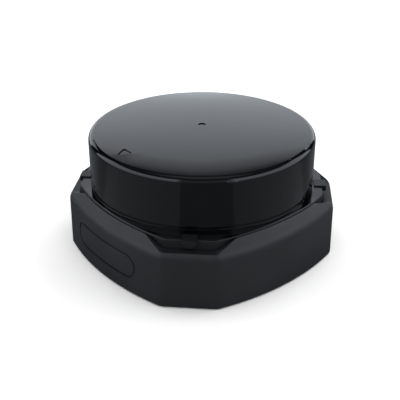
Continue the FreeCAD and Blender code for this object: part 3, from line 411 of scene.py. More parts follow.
class Recipe:
    """Small helper that adds shader nodes to one material and remembers its main shader."""

    def __init__(self, name):
        self.material = bpy.data.materials.new(name)
        self.material.use_nodes = True
        self.tree = self.material.node_tree
        self.shader = self.tree.nodes["Principled BSDF"]
        self.coordinates = self.tree.nodes.new("ShaderNodeTexCoord").outputs["Object"]

    def add(self, kind, **settings):
        """New node with attributes set."""
        made = self.tree.nodes.new(kind)
        for key, value in settings.items():
            setattr(made, key, value)
        return made

    def link(self, source, target):
        """Link from an output to an input."""
        self.tree.links.new(source, target)

    def set(self, **values):
        """Plain values on the main shader; underscores stand for blanks."""
        for key, value in values.items():
            self.shader.inputs[key.replace("_", " ")].default_value = value

    def mapped(self, size, stretch=(1.0, 1.0, 1.0)):
        """Object coordinates in units of a feature size."""
        mapping = self.add("ShaderNodeMapping")
        mapping.inputs["Scale"].default_value = [part / size for part in stretch]
        self.link(self.coordinates, mapping.inputs["Vector"])
        return mapping.outputs["Vector"]

    def noise(self, size, detail=3.0, rough=0.5, stretch=(1.0, 1.0, 1.0)):
        """Cloudy pattern whose features are about one size across."""
        made = self.add("ShaderNodeTexNoise")
        made.inputs["Scale"].default_value = 1.0
        made.inputs["Detail"].default_value = detail
        made.inputs["Roughness"].default_value = rough
        self.link(self.mapped(size, stretch), made.inputs["Vector"])
        return made.outputs["Fac"]

    def cells(self, size, metric="EUCLIDEAN"):
        """Distance to the nearest of many scattered middles, about one size apart."""
        made = self.add("ShaderNodeTexVoronoi", distance=metric)
        made.inputs["Scale"].default_value = 1.0
        self.link(self.mapped(size), made.inputs["Vector"])
        return made.outputs["Distance"]

    def places(self):
        """The three object coordinates by themselves."""
        split = self.add("ShaderNodeSeparateXYZ")
        self.link(self.coordinates, split.inputs[0])
        return split.outputs

    def reach(self):
        """Distance from the vertical axis."""
        return level_length(self.tree, self.coordinates)

    def corner(self):
        """One near the four diagonals and nought near the middles of the faces, seen from above."""
        x, y, _ = self.places()
        area = self.maths("MULTIPLY", self.maths("ABSOLUTE", x), self.maths("ABSOLUTE", y))
        reach = self.reach()
        share = self.maths("DIVIDE", area, self.maths("MULTIPLY", reach, reach))
        return self.span(share, 0.0, 1.0, *DIAGONAL_BAND)

    def rings(self, size, distortion=0.0):
        """Rings about the vertical axis, as a lathe or a winding leaves them."""
        made = self.add("ShaderNodeTexWave", wave_type="RINGS", rings_direction="Z")
        made.inputs["Scale"].default_value = 1.0
        made.inputs["Distortion"].default_value = distortion
        self.link(self.mapped(size * RINGS_PER_UNIT), made.inputs["Vector"])
        return made.outputs["Fac"]

    def ramp(self, factor, *stops):
        """Colours along a factor; each stop is a place and a colour."""
        return colour_ramp(self.tree, factor, stops)

    def span(self, factor, low, high, start=0.3, end=0.7):
        """Factor between start and end carried over to the span from low to high."""
        made = self.add("ShaderNodeMapRange")
        made.inputs["From Min"].default_value = start
        made.inputs["From Max"].default_value = end
        made.inputs["To Min"].default_value = low
        made.inputs["To Max"].default_value = high
        self.link(factor, made.inputs["Value"])
        return made.outputs["Result"]

    def mix(self, factor, first, second):
        """Blend of two colours; the node's colour sockets come after those for numbers and vectors."""
        made = self.add("ShaderNodeMix", data_type="RGBA")
        self.link(factor, made.inputs[0])
        self.link(first, made.inputs[6])
        self.link(second, made.inputs[7])
        return made.outputs[2]

    def maths(self, operation, first, second=None):
        """Sum, product or other operation of one or two factors; the second may be a number."""
        return shader_maths(self.tree, operation, first, second)

    def relief(self, height, distance, strength=1.0):
        """Bump from a height pattern, on the main shader."""
        made = self.add("ShaderNodeBump")
        made.inputs["Strength"].default_value = strength
        made.inputs["Distance"].default_value = distance
        self.link(height, made.inputs["Height"])
        self.link(made.outputs["Normal"], self.shader.inputs["Normal"])

    def colour(self, source):
        """Link to the main shader's colour."""
        self.link(source, self.shader.inputs["Base Color"])

    def roughness(self, source):
        """Link to the main shader's roughness."""
        self.link(source, self.shader.inputs["Roughness"])


def shade(colour, factor):
    """Colour made lighter or darker."""
    return tuple(min(1.0, part * factor) for part in colour)


def moulded(name, colour, grain, depth, low, high):
    """Grained moulded plastic: fine spark-eroded grain, faint clouds in its tone and sheen."""
    made = Recipe(name)
    clouds = made.noise(0.014, 4.0)
    speckle = made.noise(grain * 2.2, 2.0)
    both = made.maths("ADD", made.maths("MULTIPLY", clouds, 0.6), made.maths("MULTIPLY", speckle, 0.4))
    made.colour(made.ramp(both, (0.35, shade(colour, 0.86)), (0.5, colour), (0.68, shade(colour, 1.22))))
    made.roughness(made.span(clouds, low, high))
    fine = made.cells(grain)
    made.relief(made.maths("ADD", fine, made.noise(grain * 0.6, 2.0)), depth)
    made.set(IOR=1.5)
    return made.material


def cap_plastic(name, colour):
    """Polished dark plastic with a breath of haze where it has been wiped, satin on the flange's corners.

    The flange is what lies further from the axis than the window's wall. Its edge, below its top, is the
    dullest."""
    made = Recipe(name)
    haze = made.noise(0.011, 5.0, 0.6)
    wipes = made.noise(0.006, 3.0, 0.55, (0.25, 1.0, 1.0))
    both = made.maths("MULTIPLY", haze, wipes)
    flange = made.maths("MULTIPLY", made.span(made.reach(), 0.0, 1.0, *FLANGE_REACH_BAND), made.corner())
    edge = made.span(made.places()[2], 0.4, 0.0, *FLANGE_EDGE_BAND)
    tone = made.ramp(haze, (0.3, shade(colour, 0.8)), (0.7, shade(colour, 1.3)))
    satin = made.ramp(haze, (0.3, shade(colour, 2.6)), (0.7, shade(colour, 3.4)))
    made.colour(made.mix(flange, tone, satin))
    gloss = made.span(both, 0.025, 0.055, 0.12, 0.4)
    made.roughness(made.maths("ADD", gloss, made.maths("ADD", made.maths("MULTIPLY", flange, 0.2), edge)))
    made.relief(made.noise(0.02, 1.0), 0.00001, 0.3)
    made.set(IOR=1.5)
    return made.material


def housing_plastic(name, colour):
    """Grained moulded plastic of the base: spark-eroded grain, rubbed edges, painted shade in a groove and
    pockets.

    The rubbed edges are the rim and the foot, by height. The pockets are the latches and the floors of the
    notches, which face up below the rim at the four corners, darkened as painted shade. The groove is where
    the distance to the border of the field on the front is less than half the groove's width; it is darkened
    as painted shade too."""
    made = Recipe(name)
    clouds = made.noise(0.014, 4.0)
    speckle = made.noise(0.0005, 2.0)
    both = made.maths("ADD", made.maths("MULTIPLY", clouds, 0.6), made.maths("MULTIPLY", speckle, 0.4))
    tone = made.ramp(both, (0.35, shade(colour, 0.86)), (0.5, colour), (0.68, shade(colour, 1.2)))
    x, y, z = made.places()
    scuffs = made.noise(0.0016, 4.0, 0.65)
    rim = made.span(z, 0.0, 1.0, *RIM_BAND)
    foot = made.span(z, 1.0, 0.0, *FOOT_BAND)
    wear = made.span(scuffs, 0.0, 0.55, 0.45, 0.7)
    edges = made.maths("MULTIPLY", made.maths("MAXIMUM", rim, foot), wear)
    rubbed = made.ramp(scuffs, (0.3, shade(colour, 1.6)), (0.7, shade(colour, 2.2)))
    tone = made.mix(edges, tone, rubbed)
    # Painted shade: the colour is darkened in the groove round the field on the front.
    along = made.maths("SUBTRACT", made.maths("ABSOLUTE", x), FIELD_HALF_LENGTH)
    along = made.maths("MAXIMUM", along, 0.0)
    across = made.maths("SUBTRACT", z, FIELD_HEIGHT)
    apart = made.maths("SQRT", made.maths("ADD", made.maths("MULTIPLY", along, along),
                                          made.maths("MULTIPLY", across, across)))
    off = made.maths("ABSOLUTE", made.maths("SUBTRACT", apart, FIELD_RADIUS))
    groove = made.maths("MULTIPLY", made.span(off, 1.0, 0.0, GROOVE_WIDTH * 0.5, GROOVE_WIDTH * 0.7),
                        made.span(y, 1.0, 0.0, *FRONT_BAND))
    tone = made.mix(groove, tone, made.ramp(speckle, (0.3, shade(colour, 0.2)), (0.7, shade(colour, 0.3))))
    latches = made.maths("MULTIPLY", made.span(made.reach(), 1.0, 0.0, *LATCH_REACH_BAND),
                         made.span(z, 0.0, 1.0, *LATCH_HEIGHT_BAND))
    upward = made.add("ShaderNodeSeparateXYZ")
    made.link(made.add("ShaderNodeNewGeometry").outputs["Normal"], upward.inputs[0])
    floors = made.maths("MULTIPLY", made.span(upward.outputs[2], 0.0, 1.0, *UPWARD_BAND),
                        made.span(z, 1.0, 0.0, *NOTCH_FLOOR_BAND))
    # Painted shade: the latches and the notch floors at the corners, in pockets, get a darker tone.
    pocket_shade_mask = made.maths("MULTIPLY", made.maths("MAXIMUM", latches, floors), made.corner())
    pocket_shade_tone = made.ramp(clouds, (0.3, shade(colour, 0.35)), (0.7, shade(colour, 0.5)))
    tone = made.mix(pocket_shade_mask, tone, pocket_shade_tone)
    made.colour(tone)
    gloss = made.span(clouds, 0.44, 0.52)
    made.roughness(made.maths("SUBTRACT", gloss, made.maths("MULTIPLY", edges, 0.12)))
    grain = made.maths("ADD", made.cells(0.00022), made.noise(0.00013, 2.0))
    made.relief(grain, 0.000028)
    made.set(IOR=1.5)
    return made.material


def rubber(name, colour):
    """Dull moulded rubber with a dusty bloom."""
    made = Recipe(name)
    bloom = made.noise(0.002, 5.0, 0.6)
    made.colour(made.ramp(bloom, (0.35, colour), (0.75, shade(colour, 2.2))))
    made.roughness(made.span(bloom, 0.62, 0.85))
    made.relief(made.noise(0.00012, 3.0), 0.00002)
    return made.material


def painted(name, colour):
    """Satin paint on sheet metal with a slight orange-peel."""
    made = Recipe(name)
    tone = made.noise(0.01, 4.0)
    peel = made.noise(0.0006, 2.0)
    made.colour(made.ramp(tone, (0.3, shade(colour, 0.85)), (0.7, shade(colour, 1.2))))
    made.roughness(made.span(peel, 0.32, 0.48))
    made.relief(peel, 0.00002, 0.6)
    return made.material


def turned_metal(name, colour, pitch, depth, low, high):
    """Metal off the lathe: fine rings about the axis, tone and gloss that vary with them."""
    made = Recipe(name)
    rings = made.rings(pitch, 0.6)
    clouds = made.noise(0.003, 4.0)
    made.colour(made.ramp(clouds, (0.3, shade(colour, 0.82)), (0.7, shade(colour, 1.08))))
    made.roughness(made.span(rings, low, high, 0.0, 1.0))
    made.relief(rings, depth, 0.5)
    made.set(Metallic=1.0)
    return made.material


def stamped_metal(name, colour):
    """Sheet steel with fine rolling lines and a few dull patches."""
    made = Recipe(name)
    lines = made.noise(0.00025, 4.0, 0.6, (0.06, 1.0, 1.0))
    patches = made.noise(0.003, 5.0, 0.6)
    made.colour(made.ramp(patches, (0.35, shade(colour, 0.7)), (0.7, colour)))
    made.roughness(made.span(lines, 0.28, 0.46))
    made.relief(lines, 0.000012, 0.5)
    made.set(Metallic=1.0)
    return made.material


def wound(name, colour):
    """Enamelled wire laid turn by turn: rings of wire with a clear coat, and painted shade between the turns.
    """
    made = Recipe(name)
    turns = made.rings(0.00022, 0.4)
    tone = made.noise(0.0009, 3.0)
    # Painted shade: the colour is darker in the bands between the turns of wire than on their crowns.
    made.colour(made.mix(turns, made.ramp(tone, (0.3, shade(colour, 0.35)), (0.7, shade(colour, 0.5))),
                         made.ramp(tone, (0.3, shade(colour, 0.9)), (0.7, shade(colour, 1.2)))))
    made.roughness(made.span(tone, 0.22, 0.36))
    made.relief(turns, 0.00008)
    made.set(Metallic=0.85)
    return made.material


def sintered(name, colour):
    """Sintered ferrite: dark, granular, with small bright specks."""
    made = Recipe(name)
    grains = made.cells(0.00018)
    specks = made.noise(0.0004, 3.0)
    made.colour(made.ramp(specks, (0.3, shade(colour, 0.6)), (0.62, colour), (0.75, shade(colour, 1.9))))
    made.roughness(made.span(specks, 0.42, 0.66))
    made.relief(grains, 0.00002, 0.7)
    made.set(Metallic=0.3)
    return made.material


def circuit(name, colour, trace):
    """Solder mask over copper traces with square corners, and small tinned holes.

    The traces are level lines of the larger of the two distances to the nearest cell's middle."""
    made = Recipe(name)
    level = made.maths("PINGPONG", made.cells(0.0036, "CHEBYCHEV"), 0.085)
    lanes = made.span(level, 1.0, 0.0, 0.018, 0.028)
    weave = made.noise(0.0003, 2.0)
    mask = made.ramp(weave, (0.3, shade(colour, 0.85)), (0.7, shade(colour, 1.15)))
    copper = made.ramp(weave, (0.3, shade(trace, 0.9)), (0.7, shade(trace, 1.15)))
    holes = made.span(made.cells(0.0031), 1.0, 0.0, 0.09, 0.12)
    tin = made.ramp(weave, (0.3, (0.55, 0.53, 0.48)), (0.7, (0.68, 0.66, 0.6)))
    made.colour(made.mix(holes, made.mix(lanes, mask, copper), tin))
    made.roughness(made.span(weave, 0.28, 0.42))
    made.relief(made.maths("ADD", lanes, holes), 0.00003, 0.6)
    return made.material


def clear(name, colour, rough):
    """Clear or tinted glass and resin, with faint striae."""
    made = Recipe(name)
    striae = made.noise(0.002, 3.0, 0.5, (1.0, 0.2, 1.0))
    made.colour(made.ramp(striae, (0.3, shade(colour, 0.96)), (0.7, shade(colour, 1.03))))
    made.roughness(made.span(striae, rough, rough * 2.0))
    made.set(Transmission_Weight=1.0, IOR=1.52)
    return made.material


class RANGEFINDER_OT_insert_threads(bpy.types.Operator):
    """Add the threads inside the four mounting inserts"""

    bl_idname = "rangefinder.insert_threads"
    bl_label = "Insert Threads"

    def execute(self, context):
        """A ridge of nearly triangular section carried along a helix, the same in every insert.

        At the angle a the crest's middle lies half a pitch higher than the pitch times a over a full turn.
        The root lies at the outer radius, 0.44 of a pitch above and below, and the narrow crest stands into
        the bore by the depth. The ridge fades to nothing over three quarters of a turn at each end."""
        sizes = context.scene.range_finder_thread
        turns = sizes.length / sizes.pitch - 1.0
        count = int(turns * sizes.steps) + 1
        angle = np.linspace(0.0, turns * 2.0 * math.pi, count)
        height = sizes.pitch * (0.5 + angle / (2.0 * math.pi))
        fade = np.clip(np.minimum(angle, angle[-1] - angle) / (1.5 * math.pi), 0.0, 1.0)
        offsets = np.array([-0.44, -0.06, 0.06, 0.44]) * sizes.pitch
        offsets = offsets[None, :] * np.minimum(1.0, fade * 3.0)[:, None]
        crest = np.array([0.0, 1.0, 1.0, 0.0])
        radius = sizes.outer_radius - sizes.depth * crest[None, :] * fade[:, None]
        x = radius * np.cos(angle)[:, None]
        y = radius * np.sin(angle)[:, None]
        z = height[:, None] + offsets
        ridge = np.stack([x, y, z], axis=-1).reshape(-1, 3)
        half = sizes.spacing / 2.0
        places = np.array([[half, half], [-half, half], [-half, -half], [half, -half]])
        points = np.concatenate([ridge + np.array([px, py, 0.0]) for px, py in places])
        single = grid_faces(count, 4, True)
        faces = np.concatenate([single + len(ridge) * number for number in range(len(places))])
        threads = mesh_object("insert_threads", points, faces)
        if len(threads.data.polygons) < len(faces) * WHOLE_SHARE:
            raise RuntimeError("The threads came out broken")
        threads.data.materials.append(bpy.data.materials["turned_brass"])
        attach(threads, "housing")
        return {"FINISHED"}


def screw_grid(head, shank, drive, pitch, columns=36):
    """Radii and heights of a socket-head screw as a grid of rows from the middle of its drive to its tip.

    Head and shank are each a radius and a length. The drive is a hexagon: at each angle its radius is the
    apothem over the cosine of the angle to the nearest flat. The thread is the shank's radius less a
    triangle wave of height and angle together, so that one grid carries the helix."""
    head_radius, head_height = head
    shank_radius, shank_length = shank
    angle = np.linspace(0.0, 2.0 * math.pi, columns, endpoint=False)
    sector = math.pi / 3.0
    hexagon = drive / np.cos((angle + sector / 2) % sector - sector / 2)
    bevel = head_height * HEAD_BEVEL_SHARE
    drive_floor = head_height * DRIVE_FLOOR_SHARE
    even = np.ones(columns)
    rows = [
        (0.0 * even, drive_floor),
        (hexagon * DRIVE_TAPER, drive_floor),
        (hexagon, head_height - bevel * 0.3),
        (hexagon * DRIVE_MOUTH, head_height),
        ((head_radius - bevel) * even, head_height),
        (head_radius * even, head_height - bevel),
        (head_radius * even, 0.0),
        (shank_radius * even, 0.0),
    ]
    radius = np.stack([row[0] for row in rows])
    height = np.stack([row[1] * even for row in rows])
    down = np.arange(0.0, shank_length - shank_radius * 0.6, pitch / THREAD_ROWS)[1:]
    phase = (down[:, None] / pitch + angle[None, :] / (2.0 * math.pi)) % 1.0
    depth = THREAD_DEPTH_SHARE * pitch * (1.0 - np.abs(2.0 * phase - 1.0))
    depth = depth * np.clip(down / pitch - 1.0, 0.0, 1.0)[:, None]
    tip_radius = np.array([[TIP_SHARE * shank_radius], [0.0]]) * even
    tip_height = np.array([[-shank_length], [-shank_length]]) * even
    radius = np.concatenate([radius, shank_radius - depth, tip_radius])
    height = np.concatenate([height, -down[:, None] * even, tip_height])
    return angle, radius, height


def screw_set(name, places, seat, up, head, shank, drive, pitch):
    """Screws at several places as one mesh: the grid of one screw repeated, head up or down."""
    angle, radius, height = screw_grid(head, shank, drive, pitch)
    single = np.stack([radius * np.cos(angle), radius * np.sin(angle), seat + up * height], axis=-1)
    single = single.reshape(-1, 3)
    faces = grid_faces(*radius.shape, True)
    points = np.concatenate([single + np.array([x, y, 0.0]) for x, y in places])
    quads = np.concatenate([faces + len(single) * number for number in range(len(places))])
    made = mesh_object(name, points, quads)
    made.data.materials.append(bpy.data.materials["blackened_steel"])
    return made


def around(radius, start, count):
    """Places spread evenly about the axis, as x and y."""
    angle = start + np.arange(count) * 2.0 * math.pi / count
    return np.stack([radius * np.cos(angle), radius * np.sin(angle)], axis=1)


class RANGEFINDER_OT_screws(bpy.types.Operator):
    """Add the screws of the bottom plate, the main board and the optics foot"""

    bl_idname = "rangefinder.screws"
    bl_label = "Screws"

    def execute(self, context):
        """Socket-head screws with hexagon drives and cut threads; the plate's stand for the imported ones."""
        sizes = context.scene.range_finder_screw
        places = around(sizes.plate_place, math.pi / 4, 4)
        plate = screw_set("bottom_plate_screws", places, sizes.plate_seat, -1.0, **PLATE_SCREW)
        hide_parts("plate_screws")
        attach(plate, "housing")
        places = around(sizes.board_place, 0.0, 4)
        board_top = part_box("main_board")[1][2]
        board = screw_set("board_screws", places, board_top + HEAD_CLEARANCE, 1.0, **BOARD_SCREW)
        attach(board, "housing")
        places = [(x, -y) for x in (-sizes.foot_x, sizes.foot_x)
                  for y in (sizes.foot_front, sizes.foot_back)]
        foot_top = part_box("optics_frame")[0][2] + sizes.foot_thickness
        foot = screw_set("optics_screws", places, foot_top + HEAD_CLEARANCE, 1.0, **OPTICS_SCREW)
        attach(foot, "rotor")
        for made in (plate, board, foot):
            if len(made.data.polygons) < LEAST_SCREW_FACES:
                raise RuntimeError(f"{made.name} came out broken")
        return {"FINISHED"}


class RANGEFINDER_OT_bearing_balls(bpy.types.Operator):
    """Add the balls of the two bearings"""

    bl_idname = "rangefinder.bearing_balls"
    bl_label = "Bearing Balls"

    def execute(self, context):
        """Spheres on the pitch circle at half the height of each bearing.

        Each is a grid of polar angle and azimuth: the radius times the sine of the polar angle lies out
        from the ball's upright axis, the radius times its cosine above its middle."""
        sizes = context.scene.range_finder_ball
        polar = np.linspace(0.0, math.pi, BALL_ROWS)
        azimuth = np.linspace(0.0, 2.0 * math.pi, BALL_COLUMNS, endpoint=False)
        ring = sizes.radius * np.sin(polar)[:, None]
        ball = np.stack([ring * np.cos(azimuth), ring * np.sin(azimuth),
                         sizes.radius * np.cos(polar)[:, None] * np.ones(BALL_COLUMNS)], axis=-1)
        ball = ball.reshape(-1, 3)
        faces = grid_faces(BALL_ROWS, BALL_COLUMNS, True)
        places = around(sizes.pitch_radius, 0.0, sizes.count)
        points = []
        for node in ("lower_bearing_outer_ring", "upper_bearing_outer_ring"):
            low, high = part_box(node)
            middle = (low[2] + high[2]) / 2
            points += [ball + np.array([x, y, middle]) for x, y in places]
        quads = np.concatenate([faces + len(ball) * number for number in range(len(points))])
        balls = mesh_object("bearing_balls", np.concatenate(points), quads)
        if len(balls.data.polygons) < len(quads) * WHOLE_SHARE:
            raise RuntimeError("The bearing balls came out broken")
        balls.data.materials.append(bpy.data.materials["ground_steel"])
        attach(balls, "rotor")
        return {"FINISHED"}


class RANGEFINDER_OT_finishes(bpy.types.Operator):
    """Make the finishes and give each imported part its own"""

    bl_idname = "rangefinder.finishes"
    bl_label = "Finishes"

    def execute(self, context):
        """One procedural material for each slot of the record."""
        tones = context.scene.range_finder_finish
        made = {
            "housing_plastic": housing_plastic("grained_housing", tones.housing),
            "window_plastic": cap_plastic("polished_window", tones.window),
            "cover_metal": painted("painted_plate", tones.cover),
            "seal_rubber": rubber("moulded_rubber", tones.rubber),
            "screw_steel": turned_metal(
                "blackened_steel", shade(tones.steel, 0.22),
                pitch=0.00012, depth=0.000006, low=0.24, high=0.34),
            "insert_brass": turned_metal(
                "turned_brass", tones.brass,
                pitch=0.00010, depth=0.000006, low=0.2, high=0.32),
            "circuit_board": circuit("circuit_board", tones.board, tones.trace),
            "chip_resin": moulded(
                "chip_resin", tones.resin,
                grain=0.00010, depth=0.00001, low=0.4, high=0.52),
            "ferrite": sintered("sintered_ferrite", tones.ferrite),
            "can_aluminium": turned_metal(
                "drawn_aluminium", tones.aluminium,
                pitch=0.0002, depth=0.000006, low=0.26, high=0.36),
            "socket_plastic": moulded(
                "socket_plastic", tones.inner_plastic,
                grain=0.00016, depth=0.00001, low=0.34, high=0.44),
            "clear_resin": clear("clear_resin", tones.clear_resin, rough=0.04),
            "turned_aluminium": turned_metal(
                "turned_aluminium", tones.aluminium,
                pitch=0.00016, depth=0.000008, low=0.22, high=0.34),
            "bearing_steel": turned_metal(
                "ground_steel", shade(tones.steel, 1.2),
                pitch=0.00006, depth=0.000003, low=0.08, high=0.14),
            "lamination_steel": stamped_metal("stamped_steel", shade(tones.steel, 0.7)),
            "copper_wire": wound("enamelled_wire", tones.copper),
            "optics_plastic": moulded(
                "optics_plastic", tones.inner_plastic,
                grain=0.00018, depth=0.000014, low=0.5, high=0.62),
            "lens_glass": clear("lens_glass", tones.lens, rough=0.01),
            "filter_glass": clear("filter_glass", tones.filter_glass, rough=0.02),
            "counterweight_brass": turned_metal(
                "machined_brass", tones.brass,
                pitch=0.00018, depth=0.00001, low=0.22, high=0.34),
        }
        slots = {part["node"]: part["material_slot"] for part in frame["record"]["subparts"]}
        for node, shown in frame["nodes"].items():
            for place in shown.material_slots:
                place.link = "OBJECT"
                place.material = made[slots[node]]
        return {"FINISHED"}


def soft_lamp(name, place, aim, power):
    """Soft rectangular lamp that points at a place."""
    lamp = bpy.data.lights.new(name, "AREA")
    lamp.shape = "RECTANGLE"
    lamp.size = LAMP_WIDTH
    lamp.size_y = LAMP_HEIGHT
    lamp.energy = power
    made = bpy.data.objects.new(name, lamp)
    made.location = place
    made.rotation_euler = (aim - place).to_track_quat("-Z", "Y").to_euler()
    made.visible_camera = False
    made.visible_glossy = False
    bpy.context.scene.collection.objects.link(made)


def facing(tree, place, light):
    """Half of one plus the cosine of the angle between a level direction and the gap in front."""
    turn = light.gap_turn
    front = unit(np.array(light.camera_place)[:2] - np.array(light.camera_aim)[:2])
    front = np.array([front[0] * math.cos(turn) - front[1] * math.sin(turn),
                      front[0] * math.sin(turn) + front[1] * math.cos(turn)])
    cosine = shader_maths(tree, "DIVIDE", towards(tree, place, front), level_length(tree, place))
    return shader_maths(tree, "MULTIPLY_ADD", cosine, 0.5, 0.5)


def make_world(light):
    """World: white to the camera, a ring of light to polished parts, a soft sky to everything else.

    The ring is a backdrop behind the object, whose upper edge is an arch, and a panel on each side, with
    narrow dark gaps between them and a wider one where the camera stands."""
    world = bpy.data.worlds.new("studio_world")
    bpy.context.scene.world = world
    world.use_nodes = True
    tree = world.node_tree
    tree.nodes.clear()
    way = tree.nodes.new("ShaderNodeTexCoord").outputs["Generated"]
    split = tree.nodes.new("ShaderNodeSeparateXYZ")
    tree.links.new(way, split.inputs[0])
    height = split.outputs[2]
    back = unit(np.array(light.camera_aim)[:2] - np.array(light.camera_place)[:2])
    sideways = towards(tree, way, (-back[1], back[0]))
    arch = shader_maths(tree, "MINIMUM", product(tree, sideways, sideways, ARCH_RISE), ARCH_LIMIT)
    turned = facing(tree, way, light)
    backdrop = product(tree, shader_ramp(tree, shader_maths(tree, "ADD", height, arch), BACKDROP_BY_HEIGHT),
                       shader_ramp(tree, turned, BACKDROP_BY_TURN), light.backdrop_glow)
    panels = product(tree, shader_ramp(tree, height, PANELS_BY_HEIGHT),
                     shader_ramp(tree, turned, PANELS_BY_TURN), light.panel_glow)
    overhead = shader_ramp(tree, height, OVERHEAD_BY_HEIGHT)
    mirrored = shader_maths(tree, "ADD", shader_maths(tree, "ADD", backdrop, panels), overhead)
    sky = shader_ramp(tree, height, ((0.0, light.sky_low / 2.0), (1.0, light.sky_high / 2.0)))
    sky = product(tree, sky, shader_maths(tree, "MULTIPLY_ADD", sideways, SKY_LEAN, SKY_LEVEL))
    rays = tree.nodes.new("ShaderNodeLightPath").outputs
    lit = tree.nodes.new("ShaderNodeBackground")
    tree.links.new(sky, lit.inputs["Strength"])
    glossy = tree.nodes.new("ShaderNodeBackground")
    glossy.inputs["Color"].default_value = (*light.tint, 1.0)
    tree.links.new(mirrored, glossy.inputs["Strength"])
    white = tree.nodes.new("ShaderNodeBackground")
    for shown in (lit, white):
        shown.inputs["Color"].default_value = (1.0, 1.0, 1.0, 1.0)
    inner = blend(tree, rays["Is Glossy Ray"], lit.outputs[0], glossy.outputs[0])
    clear_ray = shader_maths(tree, "MAXIMUM", rays["Is Camera Ray"], rays["Is Transmission Ray"])
    output = tree.nodes.new("ShaderNodeOutputWorld")
    tree.links.new(blend(tree, clear_ray, inner, white.outputs[0]), output.inputs["Surface"])


def make_floor(light):
    """Pale floor that keeps the shadow; polished parts mirror it darker, darkest towards the gap.

    It can't be seen from below, and glows faintly under the object so that the underside shows there."""
    signs = np.array([[-1.0, -1.0], [1.0, -1.0], [1.0, 1.0], [-1.0, 1.0]])
    corners = np.column_stack([signs * FLOOR_REACH, np.full(4, -FLOOR_DROP)])
    floor = mesh_object("studio_floor", corners, np.array([[0, 1, 2, 3]]), smooth=False)
    material = bpy.data.materials.new("pale_floor")
    material.use_nodes = True
    tree = material.node_tree
    shader = tree.nodes["Principled BSDF"]
    shader.inputs["Roughness"].default_value = 0.9
    shader.inputs["Specular IOR Level"].default_value = 0.0
    place = tree.nodes.new("ShaderNodeTexCoord").outputs["Object"]
    cloud = tree.nodes.new("ShaderNodeTexNoise")
    cloud.inputs["Scale"].default_value = 3.0
    tree.links.new(place, cloud.inputs["Vector"])
    tree.links.new(shader_ramp(tree, cloud.outputs["Fac"], FLOOR_TONES), shader.inputs["Base Color"])
    level = shader_ramp(tree, facing(tree, place, light), FLOOR_BY_TURN)
    away = product(tree, level_length(tree, place), DECIMETRES)
    apart = shader_ramp(tree, away, OPEN_FLOOR)
    under = product(tree, shader_maths(tree, "SUBTRACT", 1.0, apart), SHADED_LEVEL)
    strength = shader_maths(tree, "ADD", product(tree, level, apart), under)
    strength = product(tree, strength, light.floor_glow)
    mirrored = tree.nodes.new("ShaderNodeEmission")
    mirrored.inputs["Color"].default_value = (*light.tint, 1.0)
    tree.links.new(strength, mirrored.inputs["Strength"])
    glow = tree.nodes.new("ShaderNodeEmission")
    glow.inputs["Strength"].default_value = BENEATH_GLOW
    nothing = tree.nodes.new("ShaderNodeBsdfTransparent")
    glossy_ray = tree.nodes.new("ShaderNodeLightPath").outputs["Is Glossy Ray"]
    from_below = tree.nodes.new("ShaderNodeNewGeometry").outputs["Backfacing"]
    seen = blend(tree, glossy_ray, shader.outputs[0], mirrored.outputs[0])
    seen = blend(tree, shader_ramp(tree, away, COVERED_FLOOR), seen, glow.outputs[0])
    seen = blend(tree, from_below, seen, nothing.outputs[0])
    tree.links.new(seen, tree.nodes["Material Output"].inputs["Surface"])
    floor.data.materials.append(material)


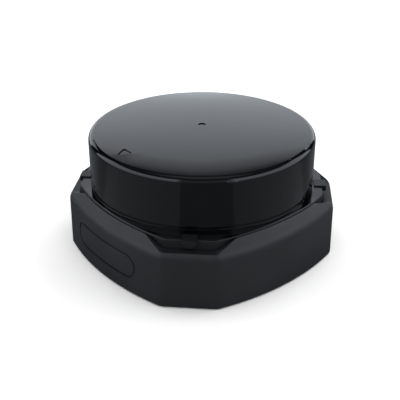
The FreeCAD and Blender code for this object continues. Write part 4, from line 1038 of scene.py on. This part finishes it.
class RANGEFINDER_OT_studio(bpy.types.Operator):
    """Set up floor, light and camera"""

    bl_idname = "rangefinder.studio"
    bl_label = "Studio"

    def execute(self, context):
        """Pale floor, soft world, two side lamps, and the camera at the photograph's angle."""
        scene = context.scene
        light = scene.range_finder_studio
        make_world(light)
        make_floor(light)
        aim = Vector(light.camera_aim)
        place = Vector(light.camera_place)
        sight = (aim - place).normalized()
        side = sight.cross(Vector((0.0, 0.0, 1.0))).normalized()
        front = side.cross(Vector((0.0, 0.0, 1.0)))
        above = Vector((0.0, 0.0, LAMP_ABOVE))
        for name, sign, share in (("left_lamp", -1.0, LEFT_SHARE), ("right_lamp", 1.0, RIGHT_SHARE)):
            spot = aim + side * sign * LAMP_ASIDE - front * LAMP_BEHIND + above
            soft_lamp(name, spot, aim, light.lamp_power * share)
        camera = bpy.data.objects.new("studio_camera", bpy.data.cameras.new("studio_camera"))
        camera.data.sensor_width = 36.0
        camera.data.lens = light.focal_length
        camera.data.clip_start = 0.01
        camera.location = place
        camera.rotation_euler = sight.to_track_quat("-Z", "Y").to_euler()
        scene.collection.objects.link(camera)
        scene.camera = camera
        scene.view_settings.view_transform = "Standard"
        return {"FINISHED"}


class RANGEFINDER_PT_panel(bpy.types.Panel):
    """Panel that lists the steps"""

    bl_label = "Range Finder"
    bl_idname = "RANGEFINDER_PT_panel"
    bl_space_type = "VIEW_3D"
    bl_region_type = "UI"
    bl_category = "Range Finder"

    def draw(self, context):
        """One button for each step."""
        for step in STEPS:
            self.layout.operator(step.bl_idname)


STEPS = (
    RANGEFINDER_OT_finishes,
    RANGEFINDER_OT_insert_threads,
    RANGEFINDER_OT_screws,
    RANGEFINDER_OT_bearing_balls,
    RANGEFINDER_OT_studio,
)
SETTINGS = {
    "range_finder_thread": ThreadSettings,
    "range_finder_screw": ScrewSettings,
    "range_finder_ball": BallSettings,
    "range_finder_finish": FinishSettings,
    "range_finder_studio": StudioSettings,
}


def register():
    """Register settings, operators and panel."""
    for kind in (*SETTINGS.values(), *STEPS, RANGEFINDER_PT_panel):
        bpy.utils.register_class(kind)
    for name, kind in SETTINGS.items():
        setattr(bpy.types.Scene, name, bpy.props.PointerProperty(type=kind))


def unregister():
    """Take everything back out."""
    for name in SETTINGS:
        delattr(bpy.types.Scene, name)
    for kind in reversed((*SETTINGS.values(), *STEPS, RANGEFINDER_PT_panel)):
        bpy.utils.unregister_class(kind)


def main():
    """Run every step in order."""
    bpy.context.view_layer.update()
    register()
    for name in ("finishes", "insert_threads", "screws", "bearing_balls", "studio"):
        result = getattr(bpy.ops.rangefinder, name)()
        if result != {"FINISHED"}:
            raise RuntimeError(f"{name} did not finish")


if __name__ == "__main__":
    main()
